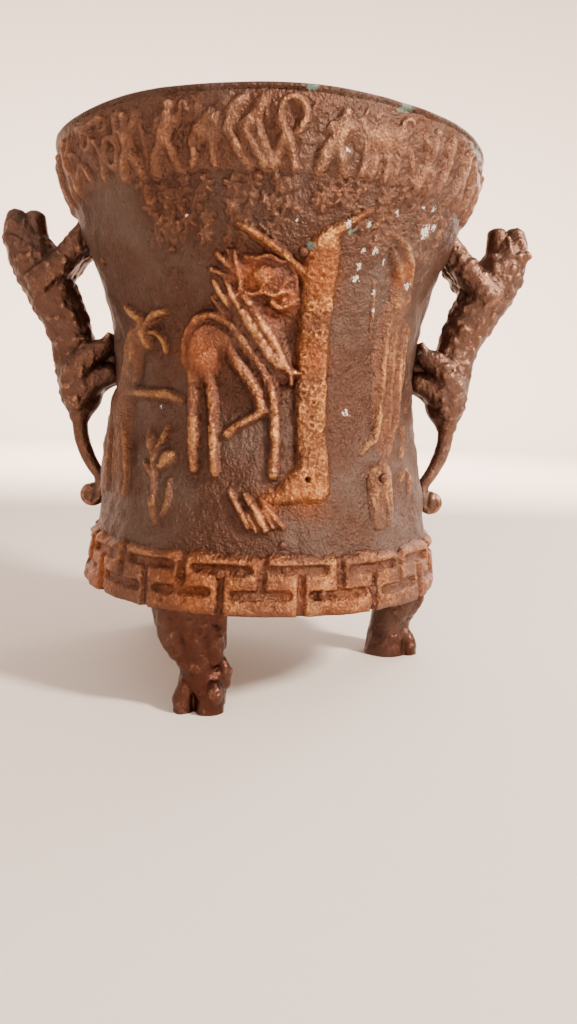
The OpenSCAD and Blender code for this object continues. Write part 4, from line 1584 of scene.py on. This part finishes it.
        # a heavy beast and its leaning keepers
        m.dome(-14, low + 13.4, 17, 16, out + 2, power=2.4, lean=4)
        for a, b in ((-18, -18.6), (-13.6, -13)):
            self.raised(m, (a, 9, 4.4, 1.5), (a + 0.4, 5, 4, 1.4), (b, 1.4, 3.4, 0.9))
        for a, reach in ((-9.8, 4.8), (-6.4, 5), (-3.2, 3.6)):
            self.raised(m, (a, 12.6, 4.2, 1.8), (a + reach * 0.5, 6, 4.2, 1.9),
                        (a + reach, 0.4, 3.4, 1.1))
        self.raised(m, (-9.6, 12, 5, 1.9), (-8.6, 17, 5.6, 2), (-6.4, 21, 4.6, 1.5))
        self.raised(m, (-5.6, 12, 5, 1.9), (-3.6, 16, 5.4, 2), (-2, 20.6, 4.4, 1.5))
        self.raised(m, (0.8, 1, 3.4, 1), (2, 6.4, 4, 1.7), (3, 10.4, 4.4, 1.9), (4.4, 6, 4, 1.7),
                    (5.6, 0.8, 3.4, 1))
        self.raised(m, (3, 10, 4.6, 1.8), (1.8, 14.6, 4, 1.7), (2, 19.6, 3.2, 1.5),
                    (4, 22.4, 3, 1.5), (6.4, 20.4, 3.6, 1.9), (7, 15.6, 3.8, 2),
                    (5.6, 11.4, 3.4, 1.8))
        self.figure(m, 14.2, tall=0.98, stride=3, lean=2, arms=(13.4, 16))
        self.raised(m, (14, 10, 5, 2), (11.8, 6.4, 4.2, 1.8), (11.4, 1, 3.6, 1.1))
        self.beast(m, 26, half=4.6, head=-1, fat=11)
        m.ring(31.6, low + 19, 4.8, 2.2, out + 1.5)
        self.raised(m, (33.6, 12, 3.2, 1.5), (35, 7, 3.4, 1.5), (36.6, 2, 3, 1))
        self.figure(m, 40.6, stride=2.4, arms=(18, 19))
        self.raised(m, (47.4, 3, 4, 1.1), (48.6, 11, 5.2, 1.7), (48, 20, 4.4, 1.4))
        self.figure(m, 56.4, stride=2.8, arms=(19, 16))
        self.beast(m, 67.4, half=4.2, head=-1)
        self.figure(m, 78.6, stride=2.8, arms=(17, 20))
        m.roughen(12, 0.2, (2, 1.2))
        m.lift(1.2)
        m.soften(0.5)
        return m

    def draw(self) -> None:
        """Draws the bands on their maps."""
        self.key = self.draw_key()
        self.ground = self.draw_frieze_ground()
        self.procession = self.draw_procession()

    def build(self) -> None:
        """Lays the bands round the foot and under the lip, in two halves each."""
        lay = self.pieces.lay_round
        lay("key_band_{}", self.key, "rubbed_band", BAND_BRASS, "key_band")
        lay("frieze_ground_{}", self.ground, "patinated_wall", GROUND_BRASS, "frieze_band")
        lay("frieze_figures_{}", self.procession, "rubbed_band", FRIEZE_BRASS,
            "frieze_procession")


# ------------------------------------------------------------------ round castings


@dataclass
class Casting:
    """A round-bodied casting, modelled from limbs that melt into one skin."""

    name: str
    voxel: float = 0.55
    limbs: list[bpy.types.Object] = field(default_factory=list)

    def limb(self, *knots: Knot, blunt: float = 1.0, sides: int = 20) -> None:
        """Adds a limb of changing thickness with rounded ends.

        Args:
            *knots: x, y, z, radius across, and radius along Y against it.
            blunt: how far the end caps stand out; small for a flat end.
            sides: points round the limb.
        """
        path = curve_through([(*k, 1.0)[:5] for k in knots], 4)
        cap = 5             # rings to each rounded end
        rings = len(path) - 1 + 2 * cap
        deselect()
        bpy.ops.mesh.primitive_uv_sphere_add(segments=sides, ring_count=rings, radius=1)
        limb = bpy.context.active_object
        unit = points_of(limb) * MM
        ring = np.round(np.arccos(np.clip(unit[:, 2], -1, 1)) / math.pi * rings).astype(int)
        turn = np.arctan2(unit[:, 1], unit[:, 0])
        step = np.clip(ring - cap, 0, len(path) - 1)
        start = np.maximum(cap - ring, 0) / cap
        end = np.maximum(ring - cap - len(path) + 1, 0) / cap
        round_end = np.sqrt(np.maximum(1 - np.maximum(start, end) ** 2, 0))
        along = np.gradient(path[:, :3], axis=0)
        along /= np.linalg.norm(along, axis=1)[:, None]
        across_y = np.array([0, 1, 0]) - along * along[:, 1:2]
        across_y /= np.linalg.norm(across_y, axis=1)[:, None]
        across = np.cross(across_y, along)
        row = path[step]
        place = (row[:, :3] + along[step] * ((end - start) * row[:, 3] * blunt)[:, None]
                 + across[step] * (row[:, 3] * round_end * np.cos(turn))[:, None]
                 + across_y[step] * (row[:, 3] * row[:, 4] * round_end * np.sin(turn))[:, None])
        place_points(limb, place)
        self.limbs.append(limb)

    def both(self, *knots: Knot) -> None:
        """Adds a limb and its twin on the other side of Y = 0."""
        self.limb(*knots)
        self.limb(*[(x, -y, *rest) for x, y, *rest in knots])

    def loop(self, centre: Knot, across: float, thick: float) -> None:
        """Adds a small ring that faces along Y.

        Args:
            centre: its middle.
            across: diameter of its middle line.
            thick: radius of its wire.
        """
        deselect()
        bpy.ops.mesh.primitive_torus_add(
            major_segments=24, minor_segments=10, major_radius=across / 2 * MM,
            minor_radius=thick * MM, location=[c * MM for c in centre],
            rotation=(math.radians(90), 0, 0))
        bpy.ops.object.transform_apply()
        self.limbs.append(bpy.context.active_object)

    def melt(self, smooth: int = 5) -> bpy.types.Object:
        """Joins the limbs and turns them into one even skin.

        Args:
            smooth: rounds of smoothing.

        Returns:
            The casting.
        """
        piece = join(self.limbs, self.name)
        tidy_shell(piece)
        apply_modifier(piece, "REMESH", mode="VOXEL", voxel_size=self.voxel * MM)
        apply_modifier(piece, "SMOOTH", factor=0.5, iterations=smooth)
        return piece


def normals_of(piece: bpy.types.Object) -> Array:
    """A piece's normals, one row per point.

    Args:
        piece: the object.

    Returns:
        An array of as many rows as the piece has points.
    """
    flat = np.empty(len(piece.data.vertices) * 3, dtype=np.float32)
    piece.data.vertex_normals.foreach_get("vector", flat)
    return flat.reshape(-1, 3).astype(float)


def add_lumps(piece: bpy.types.Object, seed: int, count: int, size: float, rise: float,
              where: Callable[[Array], Array] | None = None) -> None:
    """Raises small rounded lumps, or dents, at seeded places on a skin.

    Args:
        piece: the casting.
        seed: start of the random places.
        count: number of lumps.
        size: radius of a lump.
        rise: height of a lump; below 0 for a dent.
        where: share of the rise at each point, from the points; all of it if left out.
    """
    rng = np.random.default_rng(seed)
    p = points_of(piece)
    share = np.ones(len(p)) if where is None else where(p)
    tree = KDTree(len(p))
    for i, point in enumerate(p):
        tree.insert(point, i)
    tree.balance()
    change = np.zeros(len(p))
    for i in rng.integers(0, len(p), count):
        height = rise * rng.uniform(0.4, 1.0)
        for _, j, off in tree.find_range(p[i], size * 1.8):
            change[j] += height * math.exp(-(off / size) ** 2 * 1.6)
    change = np.clip(change, -1.1 * abs(rise), 1.1 * abs(rise))
    place_points(piece, p + normals_of(piece) * (change * share)[:, None])


def ridges_of(piece: bpy.types.Object, rounds: int) -> Array:
    """How far each point stands over an ironed copy of its skin, in millimetres.

    Args:
        piece: the casting.
        rounds: rounds of ironing; more finds wider ridges.

    Returns:
        One number per point, below 0 in hollows.
    """
    edges = np.empty(len(piece.data.edges) * 2, dtype=np.int32)
    piece.data.edges.foreach_get("vertices", edges)
    a, b = edges.reshape(-1, 2).T
    p = points_of(piece)
    n = len(p)
    links = np.maximum(np.bincount(a, minlength=n) + np.bincount(b, minlength=n), 1)
    flat = p.copy()
    for _ in range(rounds):
        flat = np.stack([(np.bincount(a, flat[b, k], n) + np.bincount(b, flat[a, k], n)) / links
                         for k in range(3)], axis=1)
    return ((p - flat) * normals_of(piece)).sum(axis=1)


def patina_and_light_by_shape(piece: bpy.types.Object, green: Array | None = None) -> None:
    """Stores wear and painted highlight on ridges, and dirt and painted shade in
    hollows, from the skin's own shape.

    Args:
        piece: the casting.
        green: verdigris at each point, 0 to 1; none if left out.
    """
    wear = ridges_of(piece, 8) / 0.16 + ridges_of(piece, 60) / 1.3
    store(piece, "wear", np.clip(wear * 0.24, -0.7, 0.7))
    store(piece, "green", np.zeros(len(wear)) if green is None else green)
    store(piece, "white", np.zeros(len(wear)))


class Side(Enum):
    """Side of the pot, by the sign of X."""

    RIGHT = 1
    LEFT = -1


@dataclass
class Leopard:
    """A spotted leopard that climbs the pot with raised head and open jaws.

    Limbs are drawn for the right-hand one; the other is its mirror image. The
    wall keeps its feet from coming through on the inside.
    """

    wall: WallForm
    side: Side
    seed: int
    feet_in: float = 2.2

    def body(self, c: Casting) -> None:
        """Rump, slim waist, deep chest and neck.

        Args:
            c: the casting to add limbs to.
        """
        c.limb((91.8, 0, 122.4, 5.4, 1), (91.2, 0, 127.4, 8.8, 1), (90.6, 0, 133, 10.4, 1),
               (90.8, 0, 139, 11, 1), (92.2, 0, 147, 10.8, 1), (94.6, 0, 158, 10.2, 0.9),
               (98.6, 0, 169, 11, 0.86), (103.8, 0, 179.6, 12, 0.86),
               (109.2, 0, 189.6, 12.4, 0.86), (114.2, 0, 198.4, 11.6, 0.86),
               (117.4, 0, 205.6, 9.9, 0.86))

    def head(self, c: Casting) -> None:
        """Skull, parted jaws, cheek folds, ringed eyes and small ears.

        Args:
            c: the casting to add limbs to.
        """
        c.limb((117.6, 0, 206, 8.9, 0.95), (120, 0, 211, 7.2, 1), (120.6, 0, 215.2, 5, 1.1),
               blunt=0.8)
        c.limb((112.6, 0, 202, 7, 1), (112, 0, 209.6, 5.6, 1.05), (111.6, 0, 216, 4.6, 1.15),
               blunt=0.62)
        c.both((120.6, 2.6, 216, 2.3), (120.6, 2.4, 217.2, 1.9))
        c.both((116.4, 8.3, 203.8, 0.9), (120.6, 8.2, 204.6, 1.1), (124.6, 6.2, 205.2, 0.8))
        c.both((115.4, 6.2, 213, 0.9), (116, 7.4, 208.6, 1), (117, 8.2, 204.6, 0.9))
        for y in (7, -7):
            c.loop((121, y, 210.2), 4, 0.8)
            c.limb((121, y * 0.96, 210.1, 1.3), (121.1, y * 0.97, 210.4, 1.3))
        c.both((122.4, 5.2, 203.4, 3.4), (124.4, 5.8, 204.8, 2.2))

    def fore_legs(self, c: Casting) -> None:
        """Forelegs that reach to the wall under the frieze.

        Args:
            c: the casting to add limbs to.
        """
        c.both((107.6, 5.4, 185.4, 8.2), (102, 6.6, 190.4, 7.2), (95.4, 7, 197.2, 6.2),
               (89.8, 6.8, 204.6, 5.5), (86.2, 6.4, 210.2, 4.9))
        for y in (-2.4, 2.4):
            c.both((90.2, 6.6 + y, 207.8, 1.9), (88, 6.6 + y * 1.1, 212.4, 1.5))
        c.both((99, 3.6, 191, 5.8), (93.6, 3.8, 198.4, 5.4), (88, 4, 204, 5.2))

    def hind_legs(self, c: Casting) -> None:
        """Haunches, folded hind legs and feet set on the wall.

        Args:
            c: the casting to add limbs to.
        """
        c.both((92.4, 5.2, 136.6, 7.6), (90, 7, 143.4, 8), (85.6, 8, 150.4, 6.6),
               (81, 8, 153.4, 5.6), (77.4, 7.6, 155.8, 4.6), (75.4, 7.2, 159.6, 2.8))
        c.both((91.4, 4.6, 131, 7), (88, 4.8, 136.6, 7.8), (82, 5.4, 140.6, 6.6),
               (76.4, 5.4, 142.4, 5.4))
        for y in (-2, 2.4):
            c.both((77.6, 7.4 + y, 156.6, 2), (75.4, 7.4 + y * 1.1, 161, 1.4))

    def tail(self, c: Casting) -> None:
        """A tail that drops to the wall and ends in a coil.

        Args:
            c: the casting to add limbs to.
        """
        c.limb((85.8, 0, 81.8, 4), (85.8, 0, 84.8, 4))
        c.limb((85, 0, 150, 4.6), (75, 0, 150, 4.6))
        turns = ((2.6, 1.25), (3.5, 1.05), (4.4, 1), (5.3, 1), (6.2, 0.95), (7.1, 0.85),
                 (8, 0.6), (9, 0.3))
        coil = [(85.8 + 3.9 * math.cos(t) * s, 0, 83.2 + 3.9 * math.sin(t) * s, 2.5 * s ** 0.5,
                 1.5) for t, s in turns]
        c.limb((91.8, 0, 127, 5.4), (91.7, 0, 119, 4), (90.9, 0, 111, 3.7), (88.2, 0, 103, 3.5),
               (84.8, 0, 96.6, 3.2), (81.8, 0, 91.8, 3), *coil)

    def spotted(self, p: Array) -> Array:
        """Share of the hide's lumps: full on the body, little on jaws and tail.

        Args:
            p: points in millimetres.

        Returns:
            A share from 0 to 1 for each point.
        """
        low = np.clip((p[:, 2] - 122) / 8, 0.25, 1)
        high = np.clip((212 - p[:, 2]) / 8, 0.25, 1)
        near_wall = np.clip((np.abs(p[:, 0]) - 80) / 6, 0.2, 1)
        return low * high * near_wall

    def build(self) -> bpy.types.Object:
        """Models the leopard, gives it its hide and sets it on the pot.

        Returns:
            The piece.
        """
        word = self.side.name.lower()
        c = Casting(f"climbing_leopard_{word}")
        for part in (self.body, self.head, self.fore_legs, self.hind_legs, self.tail):
            part(c)
        piece = c.melt()
        add_lumps(piece, self.seed, 620, 2, 0.9, self.spotted)
        add_lumps(piece, self.seed + 1, 260, 1.6, -0.4, self.spotted)
        add_lumps(piece, self.seed + 2, 400, 1, 0.12)
        p = points_of(piece)
        rng = np.random.default_rng(self.seed)
        bend = 0.5 * np.sin(p[:, 2] / 13 + rng.uniform(0, 6)) * np.clip((p[:, 0] - 90) / 20, 0, 1)
        p[:, 0] = (p[:, 0] + bend) * self.side.value
        reach = np.hypot(p[:, 0], p[:, 1])
        least = self.wall.radius(azimuth_of(p), p[:, 2]) - self.feet_in
        p[:, :2] *= np.maximum(1, least / reach)[:, None]
        place_points(piece, p)
        tidy_shell(piece)
        hind_foot = (77.5 * self.side.value, -7, 157)
        off = np.linalg.norm(points_of(piece) - hind_foot, axis=1)
        damp = 0.95 if self.side is Side.RIGHT else 0.2
        patina_and_light_by_shape(piece, np.exp(-(off / 6.5) ** 2) * damp)
        dress(piece, LEOPARD_BRASS)
        fixed_to_pot(piece, "leopard_bronze", f"leopard_{word}")
        return piece


@dataclass
class Leg:
    """A short leg with a wide bracket at its top and a clawed foot.

    It is drawn at azimuth 0 with its toes towards -Y. Then it is turned on the
    spot, until its toes point to the azimuth facing, and carried round the pot.
    """

    word: str
    azimuth: float
    facing: float
    seed: int
    reach: float = 69.0

    def shank(self, c: Casting) -> None:
        """The bracket, which narrows from one side only, down to the foot.

        Args:
            c: the casting to add limbs to.
        """
        r = self.reach
        levels = ((48, -4, 4.6, 16.4, 10), (44, -3.8, 4.4, 16, 9.8), (36, -2.8, 3.8, 14.4, 9.4),
                  (28, -0.8, 2.4, 12, 9), (21, 1.2, 1.4, 10.2, 8.8), (14, 2.2, 0.6, 9.8, 8.8),
                  (8, 2.2, 0.4, 10.6, 10), (2, 1.8, 0.4, 10.8, 11), (-3, 1.8, 0.4, 10.6, 11))
        c.limb(*[(s, -r - out, z, half, deep / half) for z, s, out, half, deep in levels],
               blunt=0.3, sides=32)
        c.limb((-3, -r - 6.4, 36, 7.6), (-0.6, -r - 6.2, 24, 7.4), (1.8, -r - 6.4, 12, 7.4))
        c.limb((9.6, -r - 8, 44, 3), (9.4, -r - 7.4, 36, 3), (9.8, -r - 5.4, 27, 2.8))

    def lumps(self, c: Casting) -> None:
        """Muscles over the ankle, the knee, and the cuff round it.

        Args:
            c: the casting to add limbs to.
        """
        r = self.reach
        c.limb((-13, -r - 8, 42, 5), (-11.4, -r - 8.2, 34, 5.2), (-8, -r - 7.8, 26, 4.8))
        c.limb((-4.4, -r - 11, 40, 3.6), (-4, -r - 10.8, 33, 3.4), (-2.4, -r - 10, 27, 3))
        c.limb((6.6, -r - 8.6, 35, 4), (7, -r - 8.8, 29, 4.4), (6.6, -r - 8.4, 22.6, 4))
        c.limb((-4.4, -r - 8, 22, 4.6), (-0.6, -r - 9, 18.6, 5), (1.4, -r - 9, 14.6, 4.6))
        c.limb((-4.6, -r - 8.6, 12.6, 2), (-1.6, -r - 9.8, 12.4, 2.2),
               (2.2, -r - 10.6, 13.4, 2.2), (7.8, -r - 8.8, 15.6, 2.4))
        c.limb((9.6, -r - 6.4, 22, 2.4), (11, -r - 6.6, 16.4, 3.8), (11, -r - 5.8, 11, 3.2))
        c.limb((-9.4, -r - 1, 33, 3), (-8, -r, 26, 3))

    def toes(self, c: Casting) -> None:
        """A small toe and a big toe with a bright nail, parted by a deep groove.

        Args:
            c: the casting to add limbs to.
        """
        r = self.reach
        c.limb((-5, -r - 8, 10.4, 3.6), (-5.8, -r - 10, 5.6, 4.3), (-5.8, -r - 9.8, -1, 4.2))
        c.limb((5, -r - 8.6, 12, 5.2), (5.4, -r - 10.6, 6.4, 6.4), (5.2, -r - 10.2, -1, 6))
        c.limb((7, -r - 13.2, 11.6, 3), (7.2, -r - 14.2, 9, 3.6), (7, -r - 13.8, 5, 3))

    def build(self) -> bpy.types.Object:
        """Models the leg, flattens its sole and its top, and sets it under the pot.

        Returns:
            The piece.
        """
        node = f"leg_{self.word}"
        low, high = box_mm(node)
        c = Casting(f"clawed_leg_{self.word}", voxel=0.6)
        for part in (self.shank, self.lumps, self.toes):
            part(c)
        piece = c.melt(smooth=6)
        add_lumps(piece, self.seed, 120, 2.6, 0.6)
        add_lumps(piece, self.seed + 1, 140, 2, -0.4)
        add_lumps(piece, self.seed + 2, 200, 1.1, 0.12)
        make_active(piece)
        for z, away in ((low[2], -1), (high[2] + 0.6, 1)):
            bpy.ops.object.mode_set(mode="EDIT")
            bpy.ops.mesh.select_all(action="SELECT")
            bpy.ops.mesh.bisect(plane_co=(0, 0, z * MM), plane_no=(0, 0, away), use_fill=True,
                                clear_outer=True)
            bpy.ops.object.mode_set(mode="OBJECT")
        p = points_of(piece)
        for degrees, middle in ((self.facing - self.azimuth, -self.reach - 4), (self.azimuth, 0)):
            turn = math.radians(degrees)
            x, y = p[:, 0].copy(), p[:, 1] - middle
            p[:, 0] = x * math.cos(turn) - y * math.sin(turn)
            p[:, 1] = x * math.sin(turn) + y * math.cos(turn) + middle
        place_points(piece, p)
        tidy_shell(piece)
        patina_and_light_by_shape(piece)
        dress(piece, LEG_BRASS)
        fixed_to_pot(piece, "dark_leg", node)
        return piece


# ------------------------------------------------------------------ studio


@dataclass
class Studio:
    """A pale floor, soft lights and the camera."""

    eye: Knot = (0.0, -388.5, 130.1)
    yaw: float = 1.98
    pitch: float = 7.9
    roll: float = 1.71
    lens: float = 27.04

    def build_floor(self) -> None:
        """Makes a wide pale floor that rises softly far away."""
        bpy.ops.mesh.primitive_grid_add(x_subdivisions=120, y_subdivisions=120, size=9)
        floor = bpy.context.active_object
        floor.name = "studio_floor"
        p = points_of(floor)
        reach = np.hypot(p[:, 0], p[:, 1])
        p[:, 2] = np.maximum(reach - 2300, 0) ** 2 / 1400
        place_points(floor, p)
        bpy.ops.object.shade_smooth()
        material = bpy.data.materials.new("pale_floor")
        material.use_nodes = True
        shader = material.node_tree.nodes["Principled BSDF"]
        shader.inputs["Base Color"].default_value = linear("#f1e8e0")
        shader.inputs["Roughness"].default_value = 0.75
        floor.data.materials.append(material)
        floor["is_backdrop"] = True

    def add_light(self, name: str, place: Knot, size: float, watts: float, colour: str,
                  target: Knot = (0.0, 0.0, 0.13)) -> None:
        """Adds a soft area light.

        Args:
            name: the light's name.
            place: its place in metres.
            size: its side in metres.
            watts: its power.
            colour: its colour as an sRGB hex value.
            target: the place it looks at, the middle of the pot if left out.
        """
        bpy.ops.object.light_add(type="AREA", location=place)
        light = bpy.context.active_object
        light.name = name
        light.data.size = size
        light.data.energy = watts
        light.data.color = linear(colour)[:3]
        aim = Vector(target) - Vector(place)
        light.rotation_euler = aim.to_track_quat("-Z", "Y").to_euler()
        light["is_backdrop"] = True

    def build_lights(self) -> None:
        """A key light at the right, weak fill, a rim light and a soft sky."""
        self.add_light("key_light", (1.05, -0.6, 0.95), 0.2, 44, "#fff0e0")
        self.add_light("fill_light", (-0.5, -1.3, 0.9), 0.9, 5, "#ffeade")
        self.add_light("rim_light", (0.9, 0.9, 0.7), 0.5, 8, "#fff6ee")
        self.add_light("backdrop_light", (0.0, 0.9, 1.5), 1.6, 280, "#ffe3d1", (0, 3.4, 0.9))
        world = bpy.data.worlds.new("soft_sky")
        world.use_nodes = True
        back = world.node_tree.nodes["Background"]
        back.inputs["Color"].default_value = linear("#f0e6de")
        back.inputs["Strength"].default_value = 0.78
        bpy.context.scene.world = world

    def build_camera(self) -> None:
        """Sets the camera in front of the pot, a little turned, tipped and rolled."""
        y, p, r = (math.radians(a) for a in (self.yaw, self.pitch, self.roll))
        right = Vector((math.cos(y), -math.sin(y), 0))
        ahead = Vector((math.cos(p) * math.sin(y), math.cos(p) * math.cos(y), -math.sin(p)))
        up = Vector((math.sin(p) * math.sin(y), math.sin(p) * math.cos(y), math.cos(p)))
        side = right * math.cos(r) + up * math.sin(r)
        top = up * math.cos(r) - right * math.sin(r)
        bpy.ops.object.camera_add(location=[c * MM for c in self.eye])
        camera = bpy.context.active_object
        camera.data.lens = self.lens
        camera.data.sensor_width = 36
        camera.data.clip_start = 0.01
        camera.rotation_euler = Matrix((side, top, -ahead)).transposed().to_euler()
        bpy.context.scene.camera = camera

    def build(self) -> None:
        """Makes everything round the pot."""
        self.build_floor()
        self.build_lights()
        self.build_camera()


# ------------------------------------------------------------------ the whole pot


# azimuth, height and stand-off of each core pin on half the pot
PIN_PLACES = ((-3, 213.5, 0), (9.5, 189, 0.8), (40, 100.5, 3.2), (63, 129, 0), (6, 73.5, 0),
              (7, 64, 0.9), (-11, 62, 2.6), (17, 54, 2.6), (33, 54, 2.6), (-28, 190, 0),
              (-62, 190, 0))


@dataclass
class Planter:
    """The footed planter pot with everything that is cast on it."""

    wall: WallForm = field(default_factory=WallForm)

    def build(self) -> None:
        """Draws the reliefs, then builds every piece from the wall outwards."""
        pieces = WallPieces(self.wall)
        scene, bands = FrontScene(self.wall, pieces), Bands(self.wall, pieces)
        scene.draw()
        bands.draw()
        whole = ReliefMap(self.wall)
        for relief in (*scene.maps.values(), bands.key, bands.ground, bands.procession):
            whole.height = np.maximum(whole.height, relief.height)
        pieces.whole = whole
        pieces.weigh()
        pieces.build_wall()
        pieces.build_floor()
        scene.build()
        bands.build()
        pieces.build_pins(PIN_PLACES)
        for side in Side:
            Leopard(self.wall, side, seed=40 + side.value).build()
        for word, azimuth, facing in (("front", -21, 4), ("right", 99, 116), ("rear", 219, 243)):
            Leg(word, azimuth, facing, seed=60 + len(word)).build()


def write_sizes() -> None:
    """Works out the CAD box and the box of the finished looks, in metres."""
    boxes = {"cad": CAD_BOX, "visual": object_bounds()}
    {k: [list(low), list(high)] for k, (low, high) in boxes.items()}


def main() -> None:
    """Builds the pot and its studio, and works out their sizes."""
    logging.basicConfig(level=logging.INFO, format="%(message)s")
    Planter().build()
    Studio().build()
    write_sizes()


if __name__ == "__main__":
    main()
